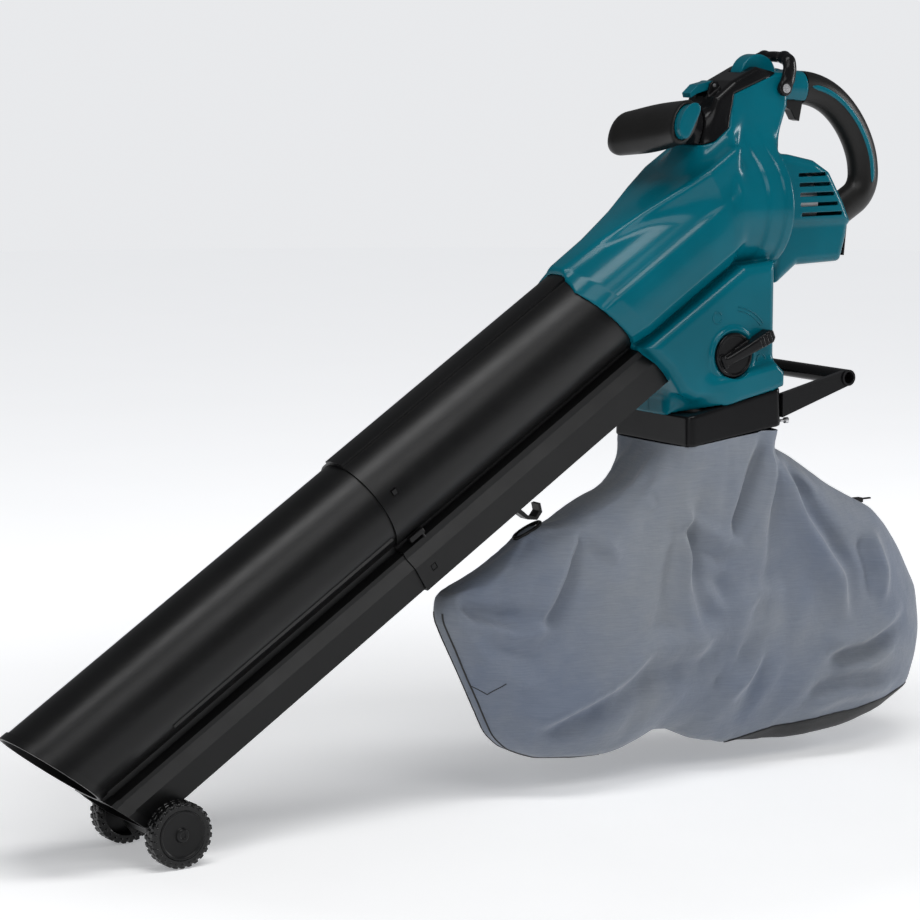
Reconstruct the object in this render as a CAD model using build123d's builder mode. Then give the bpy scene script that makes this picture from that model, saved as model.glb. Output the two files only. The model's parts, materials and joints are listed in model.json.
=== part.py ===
from build123d import *
import os
from math import cos, radians, sin

# Hand-held leaf blower and vacuum with a dust bag, in its carrying pose.
# Frame: +Z up, the nozzle points to -X, and the machine is symmetric about Y = 0.
# The origin is the centre of the pivot axis of the strap hanger, where the machine hangs.

os.makedirs("parts", exist_ok=True)

# ---------------------------------------------------------------- driving dimensions (mm)
wall = 3.0                      # moulded housing wall
fit_gap = 0.3                   # gap between parts that slide into one another
pin_gap = 0.05                  # radial clearance of a hinge pin or a shaft

# Nozzle: a round suction duct above a flat blower duct
tube_angle = 32.6               # slope of the nozzle, up towards the rear
tube_origin = (45.5, 0, -71.2)  # a point on the axis of the round duct
duct_radius = 66.0              # outside of the lower nozzle section
duct_wall = 2.5
web_half = 33.0                 # the web between the two ducts
shoulder_half, shoulder_drop = 46.0, 69.0
facet_half, facet_top, facet_drop = 55.0, 75.0, 89.0
floor_half, floor_drop = 53.0, 122.0
septum_drop = 69.5              # roof of the blower duct
sleeve_grow = duct_wall + fit_gap
mouth_top, mouth_low = -1367.0, -1297.0     # stations of the slanted mouth
joint_station = -823.0          # the edge of the upper section
sleeve_depth = 45.0             # how far the lower section goes in
nozzle_end = -348.0             # the rear end of the upper section, inside the housing
spine_half, spine_height = 19.0, 3.5
rim_width, rim_height = 12.0, 2.0

# Housing
housing_duct_radius = 76.0
lip_top, lip_low = -433.0, -372.0           # stations of the slanted front lip
fan_axis_z = -157.0
fan_front, fan_rear = -96.0, -20.0
band_radius, rear_band_radius = 84.0, 89.0
band_step = -48.0
neck_half = 33.0
motor_half = 52.0
block_half = 77.0
block_front, block_rear, block_floor = -173.0, -40.0, -404.0
skirt_half = 88.0

# Handle: an oval section swept along tangent arcs
grip_width, grip_depth, grip_skin = 37.0, 45.0, 4.0
handle_start, handle_seam = (0.0, 3.0), (58.0, -1.0)
handle_arcs = [(110, -36), (150, -28), (100, -22), (38, -60)]   # radius, turn in degrees
handle_tail = 34.0

# Front grip, a T-bar that swivels about its arm
grip_roll = 8.5
grip_axis_z = -50.0
grip_bar_x = -186.0
grip_bar_half = 72.0
grip_bar_depth, grip_bar_height, grip_bar_lean = 38.0, 68.0, 29.0
arm_radius = 17.0

# Outlet, change-over lever and bag collar
lever_pivot = (-114.0, -347.5)
knob_radius, knob_ring = 30.0, 37.0
collar_half = 85.0
stand_bar = (80.0, -390.0)
stand_bar_radius = 11.0

# Wheels under the mouth
wheel_station, wheel_drop = -1273.0, -143.0
wheel_radius, wheel_width, wheel_track = 41.5, 23.0, 71.0
hub_radius, axle_radius = 31.0, 5.0


# ---------------------------------------------------------------- reference planes
slope = radians(tube_angle)
# Across the nozzle: local x is Y, local y is the height over the duct axis.
tube = Plane(origin=tube_origin, x_dir=(0, 1, 0), z_dir=(cos(slope), 0, sin(slope)))
# Side view of the nozzle: local x is the station along it, local y the height over its axis.
tube_side = Plane(origin=tube_origin, x_dir=(cos(slope), 0, sin(slope)), z_dir=(0, -1, 0))


# ---------------------------------------------------------------- helpers
def slab(points, half_width, corner=0.0, shrink=0.0, edge=0.0, plane=Plane.XZ, centre=0.0):
    """A side-view outline extruded evenly to both sides of Y = centre."""
    with BuildPart() as body:
        with BuildSketch(plane.offset(-centre)) as outline:
            with BuildLine():
                Polyline(*points, close=True)
            make_face()
            if corner:
                fillet(outline.vertices(), corner)
            if shrink:
                offset(amount=-shrink)
        extrude(amount=half_width, both=True)
        if edge:
            rims = body.faces().filter_by(Axis.Y).edges()
            fillet(rims, edge)
    return body.part


def rod(x, z, radius, y_from, y_to):
    """A round bar along Y."""
    with BuildPart() as body:
        with BuildSketch(Plane.XZ.offset(-y_from)):
            with Locations((x, z)):
                Circle(radius)
        extrude(amount=-(y_to - y_from))
    return body.part


def fan_disc(radius, x_from, x_to, bore=0.0):
    """A round piece on the fan axis."""
    with BuildPart() as body:
        with BuildSketch(Plane.YZ.offset(x_from)):
            with Locations((0, fan_axis_z)):
                Circle(radius)
                if bore:
                    Circle(bore, mode=Mode.SUBTRACT)
        extrude(amount=x_to - x_from)
    return body.part


def both_sides(points):
    """One side of a cross-section and its mirror image, as one closed outline."""
    return points + [(-y, t) for y, t in reversed(points)]


def channel_outline(grow):
    """Outside of the flat blower duct and of the web that hangs it under the round one."""
    return both_sides([
        (-web_half - grow, -50),
        (-web_half - grow, -shoulder_drop + 4 + grow),
        (-shoulder_half - grow, -shoulder_drop + grow),
        (-shoulder_half - grow, -facet_top),
        (-facet_half - grow, -facet_drop),
        (-floor_half - grow, -floor_drop - grow),
    ])


def channel_bore(grow):
    """Inside of the flat blower duct."""
    inset = duct_wall - grow
    return both_sides([
        (-web_half + inset, -septum_drop),
        (-shoulder_half + inset, -shoulder_drop - inset - 1),
        (-shoulder_half + inset, -facet_top - 1),
        (-facet_half + inset, -facet_drop - 1),
        (-floor_half + inset, -floor_drop + inset),
    ])


def nozzle_solid(grow, start, end):
    """The full nozzle profile between two stations."""
    with BuildPart() as body:
        with BuildSketch(tube.offset(start)):
            Circle(duct_radius + grow)
            with BuildLine():
                Polyline(*channel_outline(grow), close=True)
            make_face()
        extrude(amount=end - start)
    return body.part


def nozzle_bores(grow, start, end):
    """The two air passages between two stations."""
    with BuildPart() as body:
        with BuildSketch(tube.offset(start)):
            Circle(duct_radius - duct_wall + grow)
        extrude(amount=end - start)
        with BuildSketch(tube.offset(start)):
            with BuildLine():
                Polyline(*channel_bore(grow), close=True)
            make_face()
        extrude(amount=end - start)
    return body.part


def spine_solid(grow, start, end):
    """The raised spine along the top of the upper nozzle section."""
    with BuildPart() as body:
        with BuildSketch(tube.offset(start)):
            Circle(duct_radius + sleeve_grow + spine_height + grow)
            with Locations((0, duct_radius + sleeve_grow)):
                Rectangle(2 * (spine_half + grow), 24, mode=Mode.INTERSECT)
        extrude(amount=end - start)
    return body.part


def slanted_cut(top, low, reach):
    """Everything in front of a slanted line through two stations of the nozzle."""
    height = duct_radius + floor_drop
    lean = (low - top) / height
    above = top - lean * 60
    below = low + lean * 60
    return slab([(above, duct_radius + 60), (below, -floor_drop - 60),
                 (below - reach, -floor_drop - 60), (above - reach, duct_radius + 60)],
                120, plane=tube_side)


# ---------------------------------------------------------------- nozzle, lower section
lower_rear = joint_station + sleeve_depth
window_station = -799.0
windows = [(duct_radius - 8, 17.0), (facet_half - 8, -104.0)]     # Y and height of the snap windows
snap_size = 6.5

rim_slant = slanted_cut(mouth_top + rim_width, mouth_low + rim_width, 300)
rim_band = nozzle_solid(rim_height, mouth_top - 20, mouth_low + 60)
mouth_cut = slanted_cut(mouth_top, mouth_low, 300)
with BuildPart() as nozzle_lower:
    add(rim_band)
    add(rim_slant, mode=Mode.INTERSECT)
    add(nozzle_solid(0, mouth_top - 20, lower_rear))
    # snap tabs that rest in the windows of the sleeve
    for side in (-1, 1):
        for y, height in windows:
            with BuildSketch(tube.offset(window_station - snap_size / 2)):
                with Locations((side * (y + 5), height)):
                    Rectangle(9.5, snap_size)
            extrude(amount=snap_size)
    add(nozzle_bores(0, mouth_top - 40, lower_rear + 1), mode=Mode.SUBTRACT)
    add(mouth_cut, mode=Mode.SUBTRACT)
    # low rib along each side of the barrel
    with BuildSketch(tube.offset(-1200)):
        for side in (-1, 1):
            with Locations(Location((side * 55.5, -37.0), side * 34)):
                Rectangle(3, 4)
    extrude(amount=joint_station - 6 + 1200)
nozzle_lower.part.label = "nozzle_lower"
export_step(nozzle_lower.part, "parts/nozzle_lower.step")

# ---------------------------------------------------------------- nozzle, upper section
latch_station, latch_drop, latch_side, latch_pin_radius = -795.0, -57.5, -48.5, 1.5
latch_plane = Plane(origin=tube.offset(latch_station + 9).from_local_coords((latch_side, -68, 0)),
                    x_dir=(0, 1, 0), z_dir=tube.y_dir)
with BuildPart() as nozzle_upper:
    add(nozzle_solid(sleeve_grow, joint_station, nozzle_end))
    add(spine_solid(0, joint_station, nozzle_end))
    add(nozzle_solid(fit_gap, joint_station - 1, lower_rear + 1), mode=Mode.SUBTRACT)
    add(nozzle_bores(sleeve_grow, joint_station, nozzle_end + 1), mode=Mode.SUBTRACT)
    for side in (-1, 1):
        for y, height in windows:
            with BuildSketch(tube.offset(window_station - snap_size / 2 - 1)):
                with Locations((side * (y + 8), height)):
                    Rectangle(22, snap_size + 2)
            extrude(amount=snap_size + 2, mode=Mode.SUBTRACT)
    # post on which the latch turns
    with BuildSketch(latch_plane):
        Circle(latch_pin_radius)
    extrude(amount=14)
nozzle_upper.part.label = "nozzle_upper"
export_step(nozzle_upper.part, "parts/nozzle_upper.step")


# ---------------------------------------------------------------- nozzle latch
with BuildPart() as nozzle_latch:
    with BuildSketch(tube.offset(latch_station - 12)):
        with Locations((latch_side, latch_drop)):
            Rectangle(7, 7)
    extrude(amount=24)
    fillet(nozzle_latch.edges(), 1)
    with BuildSketch(latch_plane):
        Circle(latch_pin_radius + pin_gap)
    extrude(amount=30, mode=Mode.SUBTRACT)
nozzle_latch.part.label = "nozzle_latch"
export_step(nozzle_latch.part, "parts/nozzle_latch.step")

# ---------------------------------------------------------------- housing: outer masses
motor_outline = [(fan_rear, -90), (13, -93), (56, -100), (81, -125), (109, -168),
                 (102, -236), (59, -236), (fan_rear, -265)]
motor_mass = slab(motor_outline, motor_half, corner=9, edge=7)
block_outline = [(block_front, block_floor), (block_rear, block_floor),
                 (block_rear, -222), (block_front, -262)]
block_mass = slab(block_outline, block_half)
neck_outline = [(-127, -105), (-108, -12), (-80, 10), (-40, 30), (-6, 21), (12, 21), (12, -24),
                (-2, -70), (-10, -112)]
neck_mass = slab(neck_outline, neck_half, edge=7)
cover_outline = [(-140, -105), (-140, 40), (-6, 40), (-6, 21), (-81, -6), (-97, -105)]
skirt_outline = [(-194, -428), (-32, -394), (-32, -374), (-46, -362), (-180, -384), (-194, -402)]
skirt_mass = slab(skirt_outline, skirt_half, edge=6)

with BuildPart() as duct_mass:
    with BuildSketch(tube.offset(lip_top - 5)):
        Circle(housing_duct_radius)
    extrude(amount=360)
    with BuildSketch(tube.offset(lip_top - 5)):
        with BuildLine():
            Polyline(*channel_outline(7), close=True)
        make_face()
    extrude(amount=240)
    add(slanted_cut(lip_top, lip_low, 120), mode=Mode.SUBTRACT)

with BuildPart() as fan_mass:
    with BuildSketch(Plane.YZ.offset(fan_front - 14)):
        with Locations((0, fan_axis_z)):
            Circle(band_radius)
    extrude(amount=fan_rear - fan_front + 14)
    with BuildSketch(Plane.YZ.offset(band_step)):
        with Locations((0, fan_axis_z)):
            Circle(rear_band_radius)
    extrude(amount=fan_rear - band_step)
    fillet(fan_mass.edges().filter_by(GeomType.CIRCLE).group_by(SortBy.RADIUS)[-1], 4)

# ---------------------------------------------------------------- handle
with BuildLine(Plane.XZ) as front_path:
    Line(handle_start, handle_seam)
with BuildLine(Plane.XZ) as rear_path:
    tip, heading = handle_seam, front_path.line % 1
    local = (heading.X, heading.Z)
    for radius, turn in handle_arcs:
        arc = JernArc(tip, local, radius, turn)
        end, way = arc @ 1, arc % 1
        tip, local = (end.X, end.Z), (way.X, way.Z)
    Line(tip, (tip[0] + handle_tail * local[0], tip[1] + handle_tail * local[1]))


def handle_solid(path, inset, stripe=0.0):
    """The oval handle section, drawn in by an inset and swept along one part of the handle."""
    start = path.line @ 0
    with BuildPart() as body:
        with BuildSketch(Plane(origin=start, x_dir=(0, 1, 0), z_dir=path.line % 0)):
            Ellipse(grip_width / 2 - inset, grip_depth / 2 - inset)
            if stripe:
                Rectangle(grip_width - 0.8, stripe)
        sweep(path=path.line)
    return body.part


handle_front = handle_solid(front_path, 0)
handle_rear = handle_solid(rear_path, 0)
handle_core = handle_solid(rear_path, grip_skin, stripe=5)
handle_hollow = handle_solid(rear_path, grip_skin + wall)

# ---------------------------------------------------------------- housing: cavities
with BuildPart() as air_cavity:
    # socket of the nozzle
    add(nozzle_solid(sleeve_grow + fit_gap, lip_top - 10, nozzle_end + 1))
    add(spine_solid(fit_gap, lip_top - 10, nozzle_end + 1))
    # suction duct up to the fan
    with BuildSketch(tube.offset(nozzle_end)):
        Circle(housing_duct_radius - wall)
        with Locations((0, 60)):
            Rectangle(200, 2 * 60 + 2 * 64.5, mode=Mode.INTERSECT)
    extrude(amount=238)
    # blower duct down from the outlet block
    with BuildSketch(tube.offset(nozzle_end)):
        with BuildLine():
            Polyline(*channel_bore(sleeve_grow), close=True)
        make_face()
    extrude(amount=48)
    add(fan_disc(rear_band_radius - 2 * wall, fan_front, fan_rear - wall))
    # outlet block, open at the bottom
    add(slab([(block_front + wall, block_floor - 40), (block_rear - wall, block_floor - 40),
              (block_rear - wall, -258), (-94, -258), (block_front + wall, -292)],
             block_half - wall))
    # throat from the fan down into the block
    add(slab([(-92, -270), (block_rear - 6, -270), (block_rear - 6, -225), (-92, -225)], 55))

motor_cavity = slab(motor_outline, motor_half - wall, corner=9, shrink=wall)
teal_neck_outline = [(-93, -62), (-81, -8), (-6, 18.6), (9, 18.6), (9, -21), (-4, -62)]
neck_cavity = slab(teal_neck_outline, neck_half - wall)
cover_region = slab(cover_outline, neck_half + 5)
with BuildPart() as teal_neck:
    add(neck_mass)
    add(cover_region, mode=Mode.SUBTRACT)

# round holes and slots
dial_centre, dial_radius, dial_half = (-24.0, 14.0), 31.0, 12.0
dial_pin_radius = 3.0
trigger_pivot, trigger_half, trigger_pin_radius = (20.0, -15.0), 8.0, 2.5
hanger_pin_radius = 4.0
shaft_radius, bearing_radius = 5.0, 13.0
lever_shaft_radius = 8.0
screw_bosses = [(-60, -22, neck_half), (-22, -44, neck_half), (69, -120, motor_half),
                (88, -224, motor_half), (-160, -392, block_half), (-52, -392, block_half)]
boss_radius, screw_radius, screw_head = 5.0, 1.9, 3.6
slot_count, slot_pitch, slot_height = 5, 13.5, 5.0

with BuildPart() as housing:
    add(duct_mass.part)
    add(fan_mass.part)
    add(block_mass)
    add(teal_neck.part)
    add(motor_mass)
    add(skirt_mass)
    add(handle_front)
    add(handle_core)
    add(air_cavity.part, mode=Mode.SUBTRACT)
    add(handle_hollow, mode=Mode.SUBTRACT)
    add(motor_cavity, mode=Mode.SUBTRACT)
    add(neck_cavity, mode=Mode.SUBTRACT)
    # skirt opening down into the bag collar
    add(slab([(-187, -440), (-36, -440), (-36, -398), (-187, -404)], block_half + 4), mode=Mode.SUBTRACT)
    # shaft hole and front bearing seat
    add(fan_disc(bearing_radius, fan_rear - 5, fan_rear + 5), mode=Mode.SUBTRACT)
    # switch space, trigger slot, and the pins of the trigger, the dial and the hanger
    add(slab([(10, -40), (58, -40), (58, 12), (10, 12)], trigger_half + 1), mode=Mode.SUBTRACT)
    add(rod(*trigger_pivot, trigger_pin_radius, -10.5, 10.5), mode=Mode.SUBTRACT)
    add(rod(*dial_centre, dial_radius + 1, -dial_half - 1, dial_half + 1), mode=Mode.SUBTRACT)
    add(rod(*dial_centre, dial_pin_radius, -neck_half + 1.5, neck_half - 1.5), mode=Mode.SUBTRACT)
    add(rod(0, 0, hanger_pin_radius, -neck_half - 1, neck_half + 1), mode=Mode.SUBTRACT)
    add(slab([(6, -12), (59, -14), (59, 13), (6, 13)], 12), mode=Mode.SUBTRACT)
    # raised ring round the knob on the left side, and the shaft bores
    with BuildSketch(Plane.XZ.offset(block_half - 1)):
        with Locations(lever_pivot):
            Circle(knob_ring)
    extrude(amount=5)
    with BuildSketch(Plane.XZ.offset(block_half)):
        with Locations(lever_pivot):
            Circle(knob_radius + 1)
    extrude(amount=8, mode=Mode.SUBTRACT)
    # cooling slots, five on each side
    for row in range(slot_count):
        drop = -113.5 - row * slot_pitch
        reach = 62 + 4.5 * row
        add(slab([(14, drop), (reach, drop), (reach, drop - slot_height), (14, drop - slot_height)],
                 motor_half + 2), mode=Mode.SUBTRACT)
    # screw bosses between the two halves
    for x, z, half in screw_bosses:
        add(rod(x, z, boss_radius, -half + 1, half - 1))
        add(rod(x, z, screw_radius, -half + 8, half + 2), mode=Mode.SUBTRACT)
        add(rod(x, z, screw_head + 0.4, half - 5, half + 2), mode=Mode.SUBTRACT)
    add(rod(*lever_pivot, lever_shaft_radius, -block_half - 2, block_half - 1), mode=Mode.SUBTRACT)

for name, side in (("housing_left", Keep.TOP), ("housing_right", Keep.BOTTOM)):
    with BuildPart() as half_housing:
        add(housing.part)
        split(bisect_by=Plane.XZ, keep=side)
    half_housing.part.label = name
    export_step(half_housing.part, f"parts/{name}.step")

# ---------------------------------------------------------------- black cover of the neck
lever_hinge, lever_ear_half, lever_pin_radius = (-100.0, 5.0), 14.0, 2.5
collar_ring_radius, collar_ring_front = 27.0, -150.0
with BuildPart() as neck_cover:
    add(neck_mass)
    add(cover_region, mode=Mode.INTERSECT)
    # collar of the front grip's arm
    with BuildSketch(Plane.YZ.offset(collar_ring_front)):
        with Locations((0, grip_axis_z)):
            Circle(collar_ring_radius)
    extrude(amount=-collar_ring_front - 110)
    for centre in (-lever_ear_half + 2, lever_ear_half - 2):
        add(slab([(-110, -12), (-106, 8), (-101, 11), (-96, 9), (-90, 0)], 2, centre=centre))
    add(duct_mass.part, mode=Mode.SUBTRACT)
    add(fan_mass.part, mode=Mode.SUBTRACT)
    add(slab([(-104, -12), (-79, 7), (-40, 26), (-12, 20.5), (-80, -2), (-97, -60)], neck_half - wall),
        mode=Mode.SUBTRACT)
    with BuildSketch(Plane.YZ.offset(collar_ring_front - 1)):
        with Locations((0, grip_axis_z)):
            Circle(arm_radius + pin_gap)
    extrude(amount=-collar_ring_front + 1 - 118, mode=Mode.SUBTRACT)
    add(rod(*dial_centre, dial_radius + 1, -dial_half - 1, dial_half + 1), mode=Mode.SUBTRACT)
    add(rod(*dial_centre, dial_pin_radius, -neck_half + 1.5, neck_half - 1.5), mode=Mode.SUBTRACT)
    add(rod(*lever_hinge, lever_pin_radius, -20, 20), mode=Mode.SUBTRACT)
neck_cover.part.label = "neck_cover"
export_step(neck_cover.part, "parts/neck_cover.step")

# ---------------------------------------------------------------- handle overmould
with BuildPart() as handle_grip:
    add(handle_rear)
    add(handle_core, mode=Mode.SUBTRACT)
    add(motor_mass, mode=Mode.SUBTRACT)
handle_grip.part.label = "handle_grip"
export_step(handle_grip.part, "parts/handle_grip.step")

# ---------------------------------------------------------------- strap hanger
hanger_top, hanger_bar_radius, hanger_width = (12.0, 40.0), 7.0, 15.0
hanger_inner, hanger_outer = neck_half + 0.6, neck_half + 6.6
hanger_reach = (hanger_top[0] ** 2 + hanger_top[1] ** 2) ** 0.5
with BuildPart() as hanger_bail:
    for side in (-1, 1):
        with BuildSketch(Plane.XZ.offset(side * hanger_inner)):
            with Locations(Location((hanger_top[0] / 2, hanger_top[1] / 2), 73.3)):
                SlotCenterToCenter(hanger_reach, hanger_width)
            Circle(hanger_pin_radius + pin_gap, mode=Mode.SUBTRACT)
        extrude(amount=side * (hanger_outer - hanger_inner))
    add(rod(*hanger_top, hanger_bar_radius, -hanger_outer, hanger_outer))
hanger_bail.part.label = "hanger_bail"
export_step(hanger_bail.part, "parts/hanger_bail.step")

with BuildPart() as hanger_screws:
    for side in (-1, 1):
        near, far = sorted((side * (neck_half - wall), side * (hanger_outer + 0.4)))
        add(rod(0, 0, hanger_pin_radius, near, far))
        near, far = sorted((side * (hanger_outer + 0.4), side * (hanger_outer + 3)))
        add(rod(0, 0, 6.5, near, far))
        near, far = sorted((side * (hanger_outer + 1), side * (hanger_outer + 4)))
        add(rod(0, 0, 2.5, near, far), mode=Mode.SUBTRACT)
hanger_screws.part.label = "hanger_screws"
export_step(hanger_screws.part, "parts/hanger_screws.step")

# ---------------------------------------------------------------- speed dial
with BuildPart() as speed_dial:
    add(rod(*dial_centre, dial_radius, -dial_half, dial_half))
    fillet(speed_dial.edges().filter_by(GeomType.CIRCLE), 2.5)
    with BuildSketch(Plane.XZ.offset(-dial_half - 1)):
        with Locations(dial_centre):
            Circle(dial_radius - 5)
            Circle(8, mode=Mode.SUBTRACT)
    extrude(amount=2 * dial_half - 4, mode=Mode.SUBTRACT)
    add(rod(*dial_centre, dial_pin_radius + pin_gap, -20, 20), mode=Mode.SUBTRACT)
speed_dial.part.label = "speed_dial"
export_step(speed_dial.part, "parts/speed_dial.step")

with BuildPart() as dial_pin:
    add(rod(*dial_centre, dial_pin_radius, -neck_half + 1.5, neck_half - 1.5))
dial_pin.part.label = "dial_pin"
export_step(dial_pin.part, "parts/dial_pin.step")

# ---------------------------------------------------------------- trigger and switch
with BuildPart() as trigger:
    add(slab([(14, -21), (15, -10), (26, -8.5), (56, -13), (56.5, -19), (51, -46), (44, -44),
              (36, -31), (24, -25)], trigger_half, edge=1.5))
    add(rod(*trigger_pivot, trigger_pin_radius + pin_gap, -20, 20), mode=Mode.SUBTRACT)
trigger.part.label = "trigger"
export_step(trigger.part, "parts/trigger.step")

with BuildPart() as trigger_pin:
    add(rod(*trigger_pivot, trigger_pin_radius, -10.5, 10.5))
trigger_pin.part.label = "trigger_pin"
export_step(trigger_pin.part, "parts/trigger_pin.step")

switch_floor = 1.0
with BuildPart() as switch_body:
    add(slab([(14, switch_floor), (50, switch_floor), (50, 11), (14, 11)], 10, edge=1))
switch_body.part.label = "switch_body"
export_step(switch_body.part, "parts/switch_body.step")

# leaf spring between the switch and the back of the trigger
with BuildPart() as trigger_spring:
    add(slab([(28, switch_floor), (50, switch_floor), (50, 0.2), (31, 0.2), (49, -10.8), (48.5, -11.6),
              (28, 0)], 4))
trigger_spring.part.label = "trigger_spring"
export_step(trigger_spring.part, "parts/trigger_spring.step")

# ---------------------------------------------------------------- front grip
roll = radians(grip_roll)
grip_plane = Plane(origin=(grip_bar_x, 0, grip_axis_z), x_dir=(1, 0, 0), z_dir=(0, -cos(roll), sin(roll)))


def grip_bar(inset, half_length):
    """The leaning oval bar of the front grip."""
    with BuildPart() as body:
        with BuildSketch(grip_plane):
            with Locations(Location((0, 0), -grip_bar_lean)):
                Ellipse(grip_bar_depth / 2 - inset, grip_bar_height / 2 - inset)
        extrude(amount=half_length, both=True)
    return body.part


grip_core_inset, grip_cap_depth = 6.0, 4.0
with BuildPart() as grip_arm:
    add(grip_bar(grip_core_inset, grip_bar_half))
    with BuildSketch(Plane.YZ.offset(grip_bar_x)):
        with Locations((0, grip_axis_z)):
            Circle(arm_radius)
    extrude(amount=-grip_bar_x - 121)
    with BuildSketch(Plane.YZ.offset(-166)):
        with Locations((0, grip_axis_z)):
            Circle(24)
    extrude(amount=15)
grip_arm.part.label = "grip_arm"
export_step(grip_arm.part, "parts/grip_arm.step")

with BuildPart() as front_grip:
    add(grip_bar(0, grip_bar_half))
    ends = front_grip.faces().filter_by(GeomType.PLANE).edges()
    fillet(ends, 5)
    add(grip_arm.part, mode=Mode.SUBTRACT)
front_grip.part.label = "front_grip"
export_step(front_grip.part, "parts/front_grip.step")

for name, start in (("grip_cap_left", grip_bar_half), ("grip_cap_right", -grip_bar_half - grip_cap_depth)):
    with BuildPart() as grip_cap:
        with BuildSketch(grip_plane.offset(start)):
            with Locations(Location((0, 0), -grip_bar_lean)):
                Ellipse(grip_bar_depth / 2 - 5.5, grip_bar_height / 2 - 5.5)
        extrude(amount=grip_cap_depth)
    grip_cap.part.label = name
    export_step(grip_cap.part, f"parts/{name}.step")

with BuildPart() as grip_lock_lever:
    add(slab([(-100, 11), (-124, 6), (-137, -5), (-135, -11), (-125, -6), (-106, -1), (-98, -0.5)], 9,
             edge=1))
    add(rod(*lever_hinge, 6, -9.5, 9.5))
    add(rod(*lever_hinge, lever_pin_radius + pin_gap, -20, 20), mode=Mode.SUBTRACT)
grip_lock_lever.part.label = "grip_lock_lever"
export_step(grip_lock_lever.part, "parts/grip_lock_lever.step")

with BuildPart() as lock_lever_pin:
    add(rod(*lever_hinge, lever_pin_radius, -lever_ear_half, lever_ear_half))
lock_lever_pin.part.label = "lock_lever_pin"
export_step(lock_lever_pin.part, "parts/lock_lever_pin.step")

# ---------------------------------------------------------------- change-over lever and flap
knob_back, knob_face, lever_face = -77.4, -83.5, -97.0
shaft_end = -82.0
lever_slope = radians(21)
lever_plane = Plane(origin=(lever_pivot[0], knob_face + 1, lever_pivot[1]),
                    x_dir=(cos(lever_slope), 0, sin(lever_slope)), z_dir=(0, -1, 0))
with BuildPart() as change_lever:
    add(rod(*lever_pivot, knob_radius + 0.4, knob_face, knob_back))
    with BuildSketch(lever_plane):
        with BuildLine():
            Polyline((-20, -4), (-20, 4), (8, 8), (54, 8), (58, 4), (58, -4), (54, -8), (8, -8),
                     close=True)
        make_face()
    extrude(amount=knob_face - lever_face + 1)
    add(rod(*lever_pivot, lever_shaft_radius - pin_gap, shaft_end, -70), mode=Mode.SUBTRACT)
change_lever.part.label = "change_lever"
export_step(change_lever.part, "parts/change_lever.step")

with BuildPart() as flap:
    add(rod(*lever_pivot, lever_shaft_radius - pin_gap, shaft_end, block_half - 1.5))
    with BuildSketch(Plane.XZ.offset(-(block_half - wall - 1))):
        with Locations(Location(lever_pivot, -50)):
            with Locations((4, 0)):
                Rectangle(112, 3)
    extrude(amount=2 * (block_half - wall - 1))
flap.part.label = "flap"
export_step(flap.part, "parts/flap.step")

# ---------------------------------------------------------------- bag collar and rear stand
collar_front, collar_rear = -190.0, -33.0
collar_outline = [(collar_front, -465), (collar_rear, -446), (collar_rear, -394.4), (collar_front, -427.4)]
with BuildPart() as outlet_collar:
    add(slab(collar_outline, collar_half, edge=4))
    add(slab([(collar_front + wall, -500), (collar_rear - wall, -500), (collar_rear - wall, -380),
              (collar_front + wall, -380)], collar_half - wall), mode=Mode.SUBTRACT)
outlet_collar.part.label = "outlet_collar"
export_step(outlet_collar.part, "parts/outlet_collar.step")

with BuildPart() as rear_stand:
    for centre in (-collar_half + 5, collar_half - 5):
        add(slab([(collar_rear, -404), (collar_rear, -436), (84, -400), (76, -380)], 4, centre=centre))
    add(rod(*stand_bar, stand_bar_radius, -collar_half - 1, collar_half + 1))
    add(rod(*stand_bar, stand_bar_radius - 3, -collar_half - 2, -collar_half + 12), mode=Mode.SUBTRACT)
    add(rod(*stand_bar, stand_bar_radius - 3, collar_half - 12, collar_half + 2), mode=Mode.SUBTRACT)
rear_stand.part.label = "rear_stand"
export_step(rear_stand.part, "parts/rear_stand.step")

with BuildPart() as collar_screws:
    for side in (-1, 1):
        with BuildSketch(Plane.YZ.offset(collar_rear)):
            with Locations((side * 78, -441)):
                Circle(2)
        extrude(amount=8)
        with BuildSketch(Plane.YZ.offset(collar_rear + 8)):
            with Locations((side * 78, -441)):
                Circle(4)
        extrude(amount=5)
collar_screws.part.label = "collar_screws"
export_step(collar_screws.part, "parts/collar_screws.step")

# ---------------------------------------------------------------- fan, motor and shaft
impeller_radius, impeller_hub, blade_count, blade_thick = 76.0, 16.0, 8, 3.0
impeller_front, impeller_back = -64.0, -31.0
can_radius, can_rear = 41.0, 58.0
with BuildPart() as inlet_plate:
    add(fan_disc(rear_band_radius - 2 * wall - 0.2, fan_front, fan_front + wall, bore=52))
inlet_plate.part.label = "inlet_plate"
export_step(inlet_plate.part, "parts/inlet_plate.step")

with BuildPart() as impeller:
    add(fan_disc(impeller_radius, impeller_back, impeller_back + wall))
    add(fan_disc(impeller_hub, impeller_front, impeller_back))
    for blade in range(blade_count):
        bearing = 360 / blade_count * blade
        with BuildSketch(Plane.YZ.offset(impeller_front + 4)):
            with Locations(Location((0, fan_axis_z), bearing)):
                with Locations(Location(((impeller_radius + impeller_hub) / 2 - 2, 5), 12)):
                    Rectangle(impeller_radius - impeller_hub, blade_thick)
        extrude(amount=impeller_back - impeller_front - 4)
    add(fan_disc(shaft_radius, impeller_front - 1, impeller_back + wall + 1), mode=Mode.SUBTRACT)
impeller.part.label = "impeller"
export_step(impeller.part, "parts/impeller.step")

with BuildPart() as shredder_blade:
    with BuildSketch(Plane.YZ.offset(impeller_front - 4)):
        with Locations(Location((0, fan_axis_z), 30)):
            SlotOverall(92, 18)
            Circle(15)
            Circle(shaft_radius, mode=Mode.SUBTRACT)
    extrude(amount=4)
shredder_blade.part.label = "shredder_blade"
export_step(shredder_blade.part, "parts/shredder_blade.step")

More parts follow.
